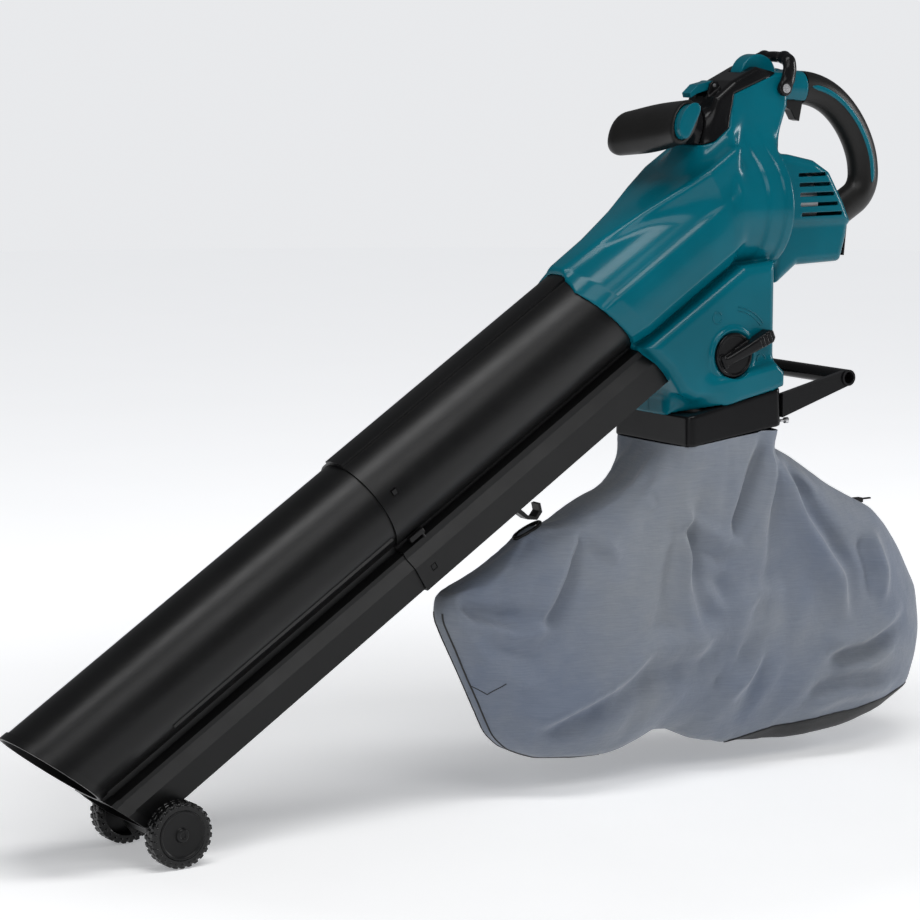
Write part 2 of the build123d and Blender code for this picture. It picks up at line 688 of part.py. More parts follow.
with BuildPart() as shaft_nut:
    with BuildSketch(Plane.YZ.offset(impeller_front - 11)):
        with Locations((0, fan_axis_z)):
            RegularPolygon(9, 6)
            Circle(shaft_radius, mode=Mode.SUBTRACT)
    extrude(amount=7)
shaft_nut.part.label = "shaft_nut"
export_step(shaft_nut.part, "parts/shaft_nut.step")

with BuildPart() as motor_shaft:
    add(fan_disc(shaft_radius, impeller_front - 14, can_rear + 1))
motor_shaft.part.label = "motor_shaft"
export_step(motor_shaft.part, "parts/motor_shaft.step")

rotor_radius, rotor_front, rotor_rear = 21.0, 2.0, 38.0
with BuildPart() as motor_rotor:
    add(fan_disc(rotor_radius, rotor_front, rotor_rear, bore=shaft_radius))
motor_rotor.part.label = "motor_rotor"
export_step(motor_rotor.part, "parts/motor_rotor.step")

tooth_count = 6
with BuildPart() as motor_stator:
    add(fan_disc(can_radius - wall, rotor_front, rotor_rear, bore=can_radius - 9))
    for tooth in range(tooth_count):
        with BuildSketch(Plane.YZ.offset(rotor_front)):
            with Locations(Location((0, fan_axis_z), 360 / tooth_count * tooth)):
                with Locations((27.5, 0)):
                    Rectangle(11, 10)
        extrude(amount=rotor_rear - rotor_front)
motor_stator.part.label = "motor_stator"
export_step(motor_stator.part, "parts/motor_stator.step")

with BuildPart() as motor_can:
    add(fan_disc(can_radius, fan_rear + wall, can_rear, bore=can_radius - wall))
    add(fan_disc(can_radius, can_rear - wall, can_rear, bore=bearing_radius))
motor_can.part.label = "motor_can"
export_step(motor_can.part, "parts/motor_can.step")

for name, start in (("bearing_front", fan_rear - wall), ("bearing_rear", can_rear - 8)):
    with BuildPart() as bearing:
        add(fan_disc(bearing_radius, start, start + 8, bore=shaft_radius + pin_gap))
    bearing.part.label = name
    export_step(bearing.part, f"parts/{name}.step")

# ---------------------------------------------------------------- electrics at the rear
with BuildPart() as controller:
    add(slab([(-8, -228), (48, -228), (48, -206), (-8, -206)], 36, edge=2))
controller.part.label = "controller"
export_step(controller.part, "parts/controller.step")

# The battery slides on along this plane, the lower rear face of the motor housing.
rail_low, rail_high, rail_half, rail_depth = (102, -236), (109, -168), 33.0, 9.0
rail_plane = Plane(origin=(105.5, 0, -202), x_dir=(0, 1, 0), z_dir=(68, 0, -7))
with BuildPart() as battery_rails:
    with BuildSketch(rail_plane):
        Rectangle(2 * rail_half, 52)
    extrude(amount=3)
    for side in (-1, 1):
        with BuildSketch(rail_plane.offset(3)):
            with Locations((side * (rail_half - 4), 0)):
                Rectangle(4, 52)
        extrude(amount=rail_depth - 6)
        with BuildSketch(rail_plane.offset(rail_depth - 3)):
            with Locations((side * (rail_half - 3), 0)):
                Rectangle(6, 52)
        extrude(amount=3)
battery_rails.part.label = "battery_rails"
export_step(battery_rails.part, "parts/battery_rails.step")

with BuildPart() as battery_terminal:
    with BuildSketch(rail_plane.offset(3)):
        with Locations((0, 8)):
            Rectangle(36, 20)
    extrude(amount=3)
    for side in (-1, 1):
        with BuildSketch(rail_plane.offset(6)):
            with Locations((side * 10, 8)):
                Rectangle(1.2, 16)
        extrude(amount=7)
battery_terminal.part.label = "battery_terminal"
export_step(battery_terminal.part, "parts/battery_terminal.step")

with BuildPart() as housing_screws:
    for x, z, half in screw_bosses:
        add(rod(x, z, screw_radius, -half + 8, half - 5))
        add(rod(x, z, screw_head, half - 5, half - 2.5))
housing_screws.part.label = "housing_screws"
export_step(housing_screws.part, "parts/housing_screws.step")

# ---------------------------------------------------------------- bag hook under the nozzle
nozzle_floor = -floor_drop - sleeve_grow
hook_station, hook_drop, hook_pin_radius = -640.0, nozzle_floor - 9, 2.5
with BuildPart() as bag_hook_bracket:
    for centre in (-11, 11):
        add(slab([(-684, nozzle_floor), (-634, nozzle_floor), (-634, hook_drop - 5),
                  (-646, hook_drop - 5)], 2, plane=tube_side, centre=centre))
    add(slab([(-684, nozzle_floor), (-634, nozzle_floor), (-634, nozzle_floor - 2),
              (-684, nozzle_floor - 2)], 13, plane=tube_side))
    with BuildSketch(tube_side.offset(-13)):
        with Locations((hook_station, hook_drop)):
            Circle(hook_pin_radius)
    extrude(amount=26)
bag_hook_bracket.part.label = "bag_hook_bracket"
export_step(bag_hook_bracket.part, "parts/bag_hook_bracket.step")

with BuildPart() as bag_hook:
    with BuildSketch(tube_side.offset(-8)):
        with Locations((hook_station, hook_drop)):
            Circle(5)
        with BuildLine():
            Polyline((hook_station - 4, hook_drop - 2), (hook_station + 10, hook_drop - 34),
                     (hook_station + 22, hook_drop - 44), (hook_station + 34, hook_drop - 40),
                     (hook_station + 38, hook_drop - 28), (hook_station + 34, hook_drop - 27),
                     (hook_station + 31, hook_drop - 36), (hook_station + 22, hook_drop - 39),
                     (hook_station + 14, hook_drop - 31), (hook_station + 4, hook_drop - 2), close=True)
        make_face()
        with Locations((hook_station, hook_drop)):
            Circle(hook_pin_radius + pin_gap, mode=Mode.SUBTRACT)
    extrude(amount=16)
bag_hook.part.label = "bag_hook"
export_step(bag_hook.part, "parts/bag_hook.step")

# ---------------------------------------------------------------- wheels
cheek_half, carriage_half = 40.0, 35.5
with BuildPart() as wheel_bracket:
    add(slab([(-1283, -floor_drop), (-1236, -floor_drop), (-1236, -floor_drop - 4),
              (-1283, -floor_drop - 4)], cheek_half, plane=tube_side))
    for centre in (-cheek_half + 2, cheek_half - 2):
        add(slab([(-1283, -floor_drop), (-1240, -floor_drop), (-1248, -160), (-1290, -160), (-1290, -130)],
                 2, plane=tube_side, centre=centre))
    # open slots in which the axle rises and falls
    add(slab([(wheel_station - axle_radius - 0.5, -165), (wheel_station + axle_radius + 0.5, -165),
              (wheel_station + axle_radius + 0.5, -136), (wheel_station - axle_radius - 0.5, -136)],
             cheek_half + 5, plane=tube_side), mode=Mode.SUBTRACT)
    # ratchet notches on the rear edge
    for notch in range(3):
        add(slab([(-1236, -134 - 8 * notch), (-1248, -137 - 8 * notch), (-1236, -140 - 8 * notch)],
                 cheek_half + 5, plane=tube_side), mode=Mode.SUBTRACT)
wheel_bracket.part.label = "wheel_bracket"
export_step(wheel_bracket.part, "parts/wheel_bracket.step")

with BuildPart() as wheel_carriage:
    add(slab([(-1288, -128), (-1254, -128), (-1254, -148), (-1262, -156), (-1284, -156), (-1288, -148)],
             carriage_half, plane=tube_side))
    add(slab([(-1284, -127), (-1258, -127), (-1258, -144), (-1284, -144)], carriage_half - 5,
             plane=tube_side), mode=Mode.SUBTRACT)
    with BuildSketch(tube_side.offset(-60)):
        with Locations((wheel_station, wheel_drop)):
            Circle(axle_radius)
    extrude(amount=120, mode=Mode.SUBTRACT)
wheel_carriage.part.label = "wheel_carriage"
export_step(wheel_carriage.part, "parts/wheel_carriage.step")

axle_half = wheel_track + wheel_width / 2 - 2
with BuildPart() as wheel_axle:
    with BuildSketch(tube_side.offset(-axle_half)):
        with Locations((wheel_station, wheel_drop)):
            Circle(axle_radius)
    extrude(amount=2 * axle_half)
wheel_axle.part.label = "wheel_axle"
export_step(wheel_axle.part, "parts/wheel_axle.step")

knob_count, tread_depth = 24, 2.5
for name, side in (("left", 1), ("right", -1)):
    # tube_side looks along +Y, so the left wheel lies on the positive side of the plane
    centre = side * wheel_track
    with BuildPart() as wheel_hub:
        with BuildSketch(tube_side.offset(centre - wheel_width / 2 + 1)):
            with Locations((wheel_station, wheel_drop)):
                Circle(hub_radius)
        extrude(amount=wheel_width - 2)
        with BuildSketch(tube_side.offset(centre + side * (wheel_width / 2 - 5))):
            with Locations((wheel_station, wheel_drop)):
                Circle(9)
        extrude(amount=side * 6, mode=Mode.SUBTRACT)
        with BuildSketch(tube_side.offset(centre - side * (wheel_width / 2))):
            with Locations((wheel_station, wheel_drop)):
                Circle(hub_radius - 4)
                Circle(10, mode=Mode.SUBTRACT)
        extrude(amount=side * (wheel_width - 6), mode=Mode.SUBTRACT)
        with BuildSketch(tube_side.offset(centre - 20)):
            with Locations((wheel_station, wheel_drop)):
                Circle(axle_radius + pin_gap)
        extrude(amount=40, mode=Mode.SUBTRACT)
    wheel_hub.part.label = f"wheel_hub_{name}"
    export_step(wheel_hub.part, f"parts/wheel_hub_{name}.step")

    with BuildPart() as wheel_tyre:
        with BuildSketch(tube_side.offset(centre - wheel_width / 2)):
            with Locations((wheel_station, wheel_drop)):
                Circle(wheel_radius - tread_depth)
                with PolarLocations(wheel_radius - tread_depth, knob_count):
                    Rectangle(2 * tread_depth, 6)
                Circle(hub_radius, mode=Mode.SUBTRACT)
        extrude(amount=wheel_width)
    wheel_tyre.part.label = f"wheel_tyre_{name}"
    export_step(wheel_tyre.part, f"parts/wheel_tyre_{name}.step")

with BuildPart() as axle_clips:
    for side in (-1, 1):
        with BuildSketch(tube_side.offset(side * (wheel_track + wheel_width / 2 - 4.6))):
            with Locations((wheel_station, wheel_drop)):
                Circle(8)
                Circle(axle_radius, mode=Mode.SUBTRACT)
        extrude(amount=side * 1.5)
axle_clips.part.label = "axle_clips"
export_step(axle_clips.part, "parts/axle_clips.step")

# ---------------------------------------------------------------- dust bag
bag_centre = (-110.0, -690.0)
bag_outline = [(-186, -476), (-338, -540), (-405, -572), (-510, -615), (-537, -658), (-424, -837),
               (-265, -865), (-119, -868), (-55, -882), (180, -871), (263, -860), (288, -789),
               (243, -640), (149, -558), (-34, -458)]
bag_layers = [(-88, 0.78), (-52, 0.95), (0, 1.0), (52, 0.95), (88, 0.78)]
bag_wall = 2.0


def bag_body(inset):
    """The belly of the bag between its two side panels, and the neck that rises to the collar."""
    shrink = 1 - inset / 200
    with BuildPart() as body:
        for y, scale in bag_layers:
            with BuildSketch(Plane.XZ.offset(-y * (1 - inset / 88))):
                with BuildLine():
                    Polyline(*[(bag_centre[0] + scale * shrink * (x - bag_centre[0]),
                                bag_centre[1] + scale * shrink * (z - bag_centre[1]))
                               for x, z in bag_outline], close=True)
                make_face()
        loft(ruled=True)
        top = 0.4 if inset == 0 else -10
        add(slab([(-186 + inset, -464.6 - top), (-37 - inset, -446.6 - top), (-37 - inset, -560),
                  (-186 + inset, -580)], collar_half - 1 - inset))
    return body.part


with BuildPart() as dust_bag:
    add(bag_body(0))
    add(bag_body(bag_wall), mode=Mode.SUBTRACT)
dust_bag.part.label = "dust_bag"
export_step(dust_bag.part, "parts/dust_bag.step")

zip_line = [(-55, -884.5), (180, -873.5), (264, -862.5)]
with BuildPart() as bag_zip:
    add(slab(zip_line + [(x, z - 3) for x, z in reversed(zip_line)], 8))
bag_zip.part.label = "bag_zip"
export_step(bag_zip.part, "parts/bag_zip.step")
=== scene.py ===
import json
import math

import bmesh
import bpy
import numpy as np
import openvdb
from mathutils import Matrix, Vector
from mathutils.bvhtree import BVHTree


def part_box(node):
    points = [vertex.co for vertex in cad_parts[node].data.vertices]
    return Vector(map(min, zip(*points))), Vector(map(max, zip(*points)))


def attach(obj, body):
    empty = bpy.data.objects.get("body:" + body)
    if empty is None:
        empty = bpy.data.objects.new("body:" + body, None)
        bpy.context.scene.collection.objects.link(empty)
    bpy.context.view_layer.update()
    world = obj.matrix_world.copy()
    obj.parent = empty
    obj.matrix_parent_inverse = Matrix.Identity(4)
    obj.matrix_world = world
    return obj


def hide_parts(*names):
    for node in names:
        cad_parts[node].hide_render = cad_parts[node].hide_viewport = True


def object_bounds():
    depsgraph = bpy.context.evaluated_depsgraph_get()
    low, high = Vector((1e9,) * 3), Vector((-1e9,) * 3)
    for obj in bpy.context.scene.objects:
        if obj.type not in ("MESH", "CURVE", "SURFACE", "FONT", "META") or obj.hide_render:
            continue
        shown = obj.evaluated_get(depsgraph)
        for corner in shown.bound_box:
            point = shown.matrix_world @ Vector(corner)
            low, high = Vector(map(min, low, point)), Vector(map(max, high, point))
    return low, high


# Leaf blower and vacuum with a dust bag. Everything is in metres, in the frame of the CAD model;
# the moulded shells are drawn as distance fields in millimetres and scaled down when meshed.
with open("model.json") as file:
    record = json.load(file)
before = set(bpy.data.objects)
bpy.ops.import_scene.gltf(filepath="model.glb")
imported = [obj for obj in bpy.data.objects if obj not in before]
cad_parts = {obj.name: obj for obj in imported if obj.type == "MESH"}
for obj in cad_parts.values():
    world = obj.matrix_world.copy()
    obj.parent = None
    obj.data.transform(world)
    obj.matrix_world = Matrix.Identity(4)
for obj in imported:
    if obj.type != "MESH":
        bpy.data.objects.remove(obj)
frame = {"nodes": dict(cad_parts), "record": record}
cad_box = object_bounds()
nodes = frame["nodes"]
scene = bpy.context.scene
MM = 0.001
FAR = 1e3  # a distance in mm beyond anything in the model

# ---- driving dimensions (mm)
SLOPE = math.radians(32.6)  # slope of the nozzle
DUCT_ORIGIN = (45.5, -71.2)  # X and Z of a point on the axis of the round duct
DUCT_R, DUCT_TOP = 76.0, 79.0
SOCKET_R, SOCKET_END = 69.1, -347.0  # hole that the nozzle goes into, and where it stops
LIP_TOP, LIP_LOW = -433.0, -372.0  # stations of the slanted front lip
FAN_Z = -157.0  # height of the fan's axis, which lies along X
BAND_R, REAR_BAND_R = 84.0, 89.0  # bands around the fan
NECK_HALF, MOTOR_HALF, BLOCK_HALF, SKIRT_HALF = 33.0, 52.0, 77.0, 88.0
LEVER_PIVOT = (-114.0, -347.5)
DIAL, DIAL_R = (-24.0, 14.0), 31.0
WALL = 3.0
MOTOR_OUTLINE = [(-24, -86), (4, -88), (46, -97), (73, -113), (97, -152), (111, -180), (108, -200),
                 (97, -237), (20, -239), (-24, -270)]
MOTOR_CREASE = -186.0
SLOTS, SLOT_TOP, SLOT_PITCH, SLOT_HEIGHT = 5, -113.0, 13.4, 5.2  # cooling slots on each side
BLOCK_OUTLINE = [(-252, -331), (-216, -364), (-194, -395), (-173, -406), (-40, -406), (-40, -226),
                 (-92, -231)]
NECK_OUTLINE = [(-139, -110), (-133, -72), (-110, -10), (-80, 11), (-40, 29), (-6, 21), (14, 21),
                (12, -24), (-4, -70), (-12, -112)]
SKIRT_OUTLINE = [(-194, -428), (-32, -394), (-32, -374), (-46, -362), (-180, -384), (-194, -402)]
COVER_OUTLINE = [(-176, -72), (-131, -72), (-116, -68), (-91, -50), (-84, -23), (-81, -6), (-6, 21),
                 (-6, 60), (-176, 60)]
EAR_OUTLINE = [(-112, -14), (-107, 7), (-101, 11), (-95, 10), (-88, 0), (-92, -14)]
WELL_OUTLINE = [(-187, -450), (-36, -450), (-36, -398), (-187, -404)]
TRIGGER_OUTLINE = [(6, -40), (59, -40), (59, 12), (6, 12)]
CHEEK_OUTLINE = [(75.5, 26), (75.5, -33), (60, -52), (-60, -52), (-75.5, -33), (-75.5, 26)]


def linked(name, data):
    """A new object in the scene."""
    obj = bpy.data.objects.new(name, data)
    scene.collection.objects.link(obj)
    return obj


# ---- camera and light (m)
VIEW_FROM = (-2.7888, -3.4656, 0.1397)
VIEW_TO = (-0.495, 0.0, -0.4666)


def aim(obj, place, towards):
    """Puts a camera or a lamp at a place and turns it to look at another."""
    obj.location = place
    obj.rotation_euler = (Vector(towards) - Vector(place)).to_track_quat("-Z", "Y").to_euler()


camera = linked("camera", bpy.data.cameras.new("camera"))
aim(camera, VIEW_FROM, VIEW_TO)
camera.data.sensor_width = 36.0
camera.data.angle = math.radians(16.0)
camera.data.clip_end = 60.0
scene.camera = camera
scene.view_settings.view_transform = "Standard"


def area_light(name, place, towards, width, height, power):
    """A soft box that looks at a point of the object. Sizes in metres, power in watts."""
    lamp = bpy.data.lights.new(name, "AREA")
    lamp.shape = "RECTANGLE"
    lamp.size = width
    lamp.size_y = height
    lamp.energy = power
    aim(linked(name, lamp), place, towards)


area_light("key_light", (-1.0, -2.7, 2.0), (-0.4, 0, -0.4), 2.2, 1.4, 29)
area_light("top_light", (-1.0, -0.9, 2.6), (-0.6, 0, -0.4), 2.6, 0.8, 50)
area_light("side_light", (2.9, -1.2, 0.3), (-0.1, 0, -0.1), 0.6, 1.4, 36)
area_light("front_light", (-3.4, -1.4, 0.6), (-0.5, 0, -0.4), 1.0, 1.8, 19)

# Bright paper where the camera looks past the object, and a dimmer room for light and reflections.
PAPER_COLOUR, ROOM_COLOUR = (0.90, 0.91, 0.93, 1), (0.94, 0.96, 1.0, 1)
world = bpy.data.worlds.new("studio")
scene.world = world
world.use_nodes = True
studio = world.node_tree
paper, room = studio.nodes["Background"], studio.nodes.new("ShaderNodeBackground")
for shader, colour, strength in ((paper, PAPER_COLOUR, 0.9), (room, ROOM_COLOUR, 0.14)):
    shader.inputs["Color"].default_value = colour
    shader.inputs["Strength"].default_value = strength
seen, either = studio.nodes.new("ShaderNodeLightPath"), studio.nodes.new("ShaderNodeMixShader")
studio.links.new(seen.outputs["Is Camera Ray"], either.inputs["Fac"])
studio.links.new(room.outputs["Background"], either.inputs[1])
studio.links.new(paper.outputs["Background"], either.inputs[2])
studio.links.new(either.outputs["Shader"], studio.nodes["World Output"].inputs["Surface"])


# ---- materials
class Look:
    """A Principled material and the few nodes that give it its detail."""

    def __init__(self, name, **shader):
        self.mat = bpy.data.materials.new(name)
        self.mat.use_nodes = True
        self.tree = self.mat.node_tree
        self.shader = self.tree.nodes["Principled BSDF"]
        for key, value in shader.items():
            self.shader.inputs[key.replace("_", " ")].default_value = value
        self.where = self.tree.nodes.new("ShaderNodeTexCoord").outputs["Object"]

    def node(self, kind, **settings):
        made = self.tree.nodes.new(kind)
        for key, value in settings.items():
            if key in made.inputs:
                made.inputs[key].default_value = value
            else:
                setattr(made, key, value)
        return made

    def join(self, source, target):
        self.tree.links.new(source, target)

    def stretched(self, scale, source=None):
        made = self.node("ShaderNodeMapping", Scale=scale)
        self.join(source or self.where, made.inputs["Vector"])
        return made.outputs["Vector"]

    def noise(self, scale, detail=3.0, source=None, roughness=0.5):
        made = self.node("ShaderNodeTexNoise", Scale=scale, Detail=detail, Roughness=roughness)
        self.join(source or self.where, made.inputs["Vector"])
        return made.outputs["Fac"]

    def spread(self, source, low, high):
        """Values from low to high over the middle of a noise, where most of it lies."""
        ends = {"From Min": 0.3, "From Max": 0.7, "To Min": low, "To Max": high}
        made = self.node("ShaderNodeMapRange", **ends)
        self.join(source, made.inputs["Value"])
        return made.outputs["Result"]

    def tint(self, source, stops):
        made = self.node("ShaderNodeValToRGB")
        ramp = made.color_ramp
        while len(ramp.elements) < len(stops):
            ramp.elements.new(0.5)
        for element, (place, colour) in zip(ramp.elements, stops):
            element.position = place
            element.color = (*colour, 1)
        self.join(source, made.inputs["Fac"])
        return made.outputs["Color"]

    def bump(self, height, strength, distance, under=None):
        made = self.node("ShaderNodeBump", Strength=strength, Distance=distance)
        self.join(height, made.inputs["Height"])
        if under:
            self.join(under, made.inputs["Normal"])
        return made.outputs["Normal"]

    def into(self, source, socket):
        self.join(source, self.shader.inputs[socket])


def moulded(name, colour, rough, grain, depth, coat=0.0, gloss=0.5):
    """Moulded plastic or rubber: cloudy colour, uneven gloss and a fine surface grain."""
    look = Look(name, Coat_Weight=coat, Coat_Roughness=0.12, Specular_IOR_Level=gloss)
    light = tuple(1.16 * c + 0.0004 for c in colour)
    dark = tuple(0.86 * c for c in colour)
    cloud = look.noise(7.0, 4.0)
    look.into(look.tint(cloud, [(0.3, dark), (0.7, light)]), "Base Color")
    smudge = look.noise(22.0, 5.0, roughness=0.65)
    look.into(look.spread(smudge, *rough), "Roughness")
    fine = look.bump(look.noise(grain, 2.0), depth, 0.0004)
    look.into(look.bump(look.noise(12.0, 1.0), 0.05, 0.003, under=fine), "Normal")
    return look.mat


def metal(name, colour, rough, stretch):
    """Turned or drawn metal with fine lines in one direction."""
    look = Look(name, Metallic=1.0)
    lines = look.noise(60.0, 3.0, source=look.stretched(stretch))
    look.into(look.tint(lines, [(0.25, tuple(0.8 * c for c in colour)), (0.75, colour)]), "Base Color")
    look.into(look.spread(lines, *rough), "Roughness")
    look.into(look.bump(lines, 0.15, 0.0003), "Normal")
    return look.mat


def woven():
    """Grey-blue polyester: slubbed threads, a fine plain weave and faint wear. Its coordinates are
    the bag's places from before its folds were raised and it hung."""
    look = Look("bag_cloth", Sheen_Weight=0.25, Sheen_Roughness=0.45, Specular_IOR_Level=0.25)
    flat = look.node("ShaderNodeAttribute", attribute_name="cut").outputs["Vector"]
    slub = look.noise(1.0, 4.0, source=look.stretched((45, 45, 1300), flat), roughness=0.6)
    warp = look.noise(1.0, 3.0, source=look.stretched((1100, 40, 40), flat))
    cloud = look.noise(6.0, 5.0, source=flat, roughness=0.6)
    threads = look.tint(slub, [(0.30, (0.186, 0.208, 0.248)), (0.52, (0.208, 0.230, 0.270)),
                               (0.74, (0.236, 0.256, 0.290))])
    faded = look.tint(cloud, [(0.32, (0.70, 0.75, 0.84)), (0.68, (1.0, 0.985, 0.94))])
    both = look.node("ShaderNodeMix", data_type="RGBA", blend_type="MULTIPLY", Factor=1.0)
    look.join(threads, both.inputs[6])
    look.join(faded, both.inputs[7])
    look.into(both.outputs[2], "Base Color")
    look.into(look.spread(cloud, 0.78, 0.92), "Roughness")
    crinkle = look.noise(38.0, 5.0, source=flat, roughness=0.6)
    weave = look.bump(warp, 0.2, 0.0005, under=look.bump(slub, 0.25, 0.0006))
    look.into(look.bump(crinkle, 0.45, 0.005, under=weave), "Normal")
    return look.mat


# colour, lowest and highest roughness, grains to a metre, depth of the grain, coat and gloss
MOULDED = {
    "teal": ((0.0, 0.103, 0.142), (0.16, 0.25), 900, 0.04, 0.14, 0.12),
    "black_gloss": ((0.0055, 0.0055, 0.006), (0.16, 0.24), 1200, 0.05, 0.0, 0.16),
    "black_satin": ((0.0050, 0.0050, 0.0052), (0.29, 0.37), 1500, 0.06, 0.0, 0.24),
    "black_rubber": ((0.0072, 0.0068, 0.0064), (0.32, 0.44), 1700, 0.12, 0.0, 0.22),
    "grip_core": ((0.014, 0.014, 0.014), (0.4, 0.5), 1500, 0.15),
    "tyre_black": ((0.0030, 0.0030, 0.0032), (0.16, 0.30), 700, 0.2, 0.0, 0.35),
    "impeller_plastic": ((0.05, 0.05, 0.055), (0.4, 0.55), 1200, 0.15),
    "zip_tape": ((0.010, 0.010, 0.011), (0.5, 0.65), 1400, 0.4),
}
# colour, lowest and highest roughness, and scale of the drawn lines along X, Y and Z
METAL = {
    "steel": ((0.62, 0.62, 0.63), (0.22, 0.38), (4, 4, 60)),
    "motor_iron": ((0.28, 0.28, 0.30), (0.42, 0.6), (60, 4, 4)),
    "motor_alloy": ((0.72, 0.72, 0.74), (0.28, 0.42), (60, 4, 4)),
    "terminal_brass": ((0.72, 0.50, 0.22), (0.25, 0.4), (4, 60, 4)),
}
LOOKS = {name: moulded(name, *values) for name, values in MOULDED.items()}
LOOKS.update({name: metal(name, *values) for name, values in METAL.items()})
LOOKS["bag_cloth"] = woven()
SLOT_OF = {part["node"]: part["material_slot"] for part in frame["record"]["subparts"]}
for node, obj in nodes.items():
    obj.data.materials.clear()
    obj.data.materials.append(LOOKS[SLOT_OF[node]])


def finish_piece(obj, body, slot, *replaced):
    """Gives a new piece its material and its body, and hides the CAD nodes that it stands for."""
    obj.data.materials.append(LOOKS[slot])
    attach(obj, body)
    if replaced:
        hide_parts(*replaced)
    return obj


def ease(bm, times):
    """Evens out the surface of a bmesh a number of times."""
    for _ in range(times):
        bmesh.ops.smooth_vert(bm, verts=bm.verts, factor=0.5, use_axis_x=True, use_axis_y=True,
                              use_axis_z=True)


def shade_smooth(mesh):
    """Smooth shading on every face."""
    mesh.polygons.foreach_set("use_smooth", [True] * len(mesh.polygons))


def mesh_of(name, bm):
    """Turns a bmesh into a mesh."""
    mesh = bpy.data.meshes.new(name)
    bm.to_mesh(mesh)
    bm.free()
    return mesh


def piece_from(name, points, faces, eased=0):
    """A mesh object from points in metres, with its surface eased a number of times."""
    mesh = bpy.data.meshes.new(name)
    mesh.from_pydata([tuple(p) for p in points], [], [tuple(f) for f in faces])
    if eased:
        bm = bmesh.new()
        bm.from_mesh(mesh)
        ease(bm, eased)
        bm.to_mesh(mesh)
        bm.free()
    mesh.update()
    shade_smooth(mesh)
    return linked(name, mesh)


# ---- distance fields (mm)
def join_soft(a, b, k):
    """Union of two fields with a concave fillet."""
    h = np.maximum(k - np.abs(a - b), 0) / k
    return np.minimum(a, b) - h * h * k / 4


def cut_soft(a, b, k):
    """Intersection of two fields with a rounded edge."""
    return -join_soft(-a, -b, k)


def rounded(a, b, edge):
    """Intersection of two fields with an edge of a given radius."""
    a, b = a + edge, b + edge
    return np.minimum(np.maximum(a, b), 0) + np.hypot(np.maximum(a, 0), np.maximum(b, 0)) - edge


def inset(points, amount):
    """A polygon with every edge moved inwards."""
    area = sum(x0 * y1 - x1 * y0 for (x0, y0), (x1, y1) in zip(points, points[1:] + points[:1]))
    if area < 0:
        points = points[::-1]
    lines = []
    for (x0, y0), (x1, y1) in zip(points, points[1:] + points[:1]):
        length = math.hypot(x1 - x0, y1 - y0)
        nx, ny = -(y1 - y0) / length, (x1 - x0) / length
        lines.append((nx, ny, nx * x0 + ny * y0 + amount))
    moved = []
    for (a, b, c), (d, e, f) in zip(lines[-1:] + lines[:-1], lines):
        det = a * e - b * d
        moved.append(((c * e - b * f) / det, (a * f - c * d) / det))
    return moved


def polygon(x, z, points, corner=0.0):
    """Signed distance to a polygon in a plane, with rounded corners."""
    if corner:
        points = inset(points, corner)
    best = np.full(np.broadcast(x, z).shape, 1e9, np.float32)
    inside = np.zeros(best.shape, bool)
    for (x0, z0), (x1, z1) in zip(points, points[1:] + points[:1]):
        ex, ez = x1 - x0, z1 - z0
        wx, wz = x - x0, z - z0
        along = np.clip((wx * ex + wz * ez) / (ex * ex + ez * ez), 0, 1)
        best = np.minimum(best, (wx - ex * along) ** 2 + (wz - ez * along) ** 2)
        crosses = (z0 > z) != (z1 > z)
        if ez:
            inside ^= crosses & (x < x0 + (z - z0) * ex / ez)
    return np.where(inside, -1.0, 1.0).astype(np.float32) * np.sqrt(best) - corner


def prism(side, y, half, edge):
    """A side-view field made into a slab with rounded rims."""
    return rounded(side, np.abs(y) - half, edge)


def disc(x, y, z, radius, x_from, x_to, edge):
    """A round field on the fan axis."""
    return rounded(np.hypot(y, z - FAN_Z) - radius, np.maximum(x_from - x, x - x_to), edge)


def pin(x, y, z, place, radius, y_from, y_to):
    """A round bar along Y."""
    return np.maximum(np.hypot(x - place[0], z - place[1]) - radius, np.maximum(y_from - y, y - y_to))


def turned(a, b, angle):
    """Coordinates in axes that are turned by an angle."""
    return a * math.cos(angle) + b * math.sin(angle), -a * math.sin(angle) + b * math.cos(angle)


def along_tube(x, z):
    """Station along the nozzle and height over the axis of its round duct."""
    return turned(x - DUCT_ORIGIN[0], z - DUCT_ORIGIN[1], SLOPE)


# half-widths and heights of the channel, and which way each height moves as it grows
CHANNEL = [(33.0, -50.0, 0), (33.0, -65.0, 0), (46.0, -69.0, 1), (46.0, -75.0, 0), (55.0, -89.0, 0),
           (53.0, -122.0, -1)]


def channel(y, height, grow):
    """Section of the flat blower duct and of its web."""
    outline = [(w + grow, t + way * grow) for w, t, way in CHANNEL]
    return polygon(y, height, outline + [(-w, t) for w, t in reversed(outline)])


def duct_field(x, y, z):
    """The teal duct: round at its lip, with a flat top that widens towards the fan."""
    station, height = along_tube(x, z)
    half = np.interp(station, [-430, -350, -287, -230, -185], [18, 23, 39, 60, 73])
    round_part = np.hypot(y, height) - DUCT_R
    flat_top = rounded(np.abs(y) - half, np.abs(height - 24.5) - (DUCT_TOP - 24.5), 9)
    field = join_soft(round_part, flat_top, 12)
    field = join_soft(field, polygon(y, height, CHEEK_OUTLINE, corner=5), 8)
    behind_lip = station - (LIP_TOP + (LIP_LOW - LIP_TOP) * (66 - height) / 188)
    field = field + 4.5 * np.clip(1 - behind_lip / 27, 0, 1)
    flat_duct = np.maximum(channel(y, height, 7.0), station + 190)
    field = np.maximum(join_soft(field, flat_duct, 5), -behind_lip)
    return cut_soft(field, x + 90, 20)


def skirt_corner(x, y):
    """Beyond the slanted front corners of the skirt, in plan."""
    return -0.60 * (x + 131) + 0.80 * (np.abs(y) - SKIRT_HALF)


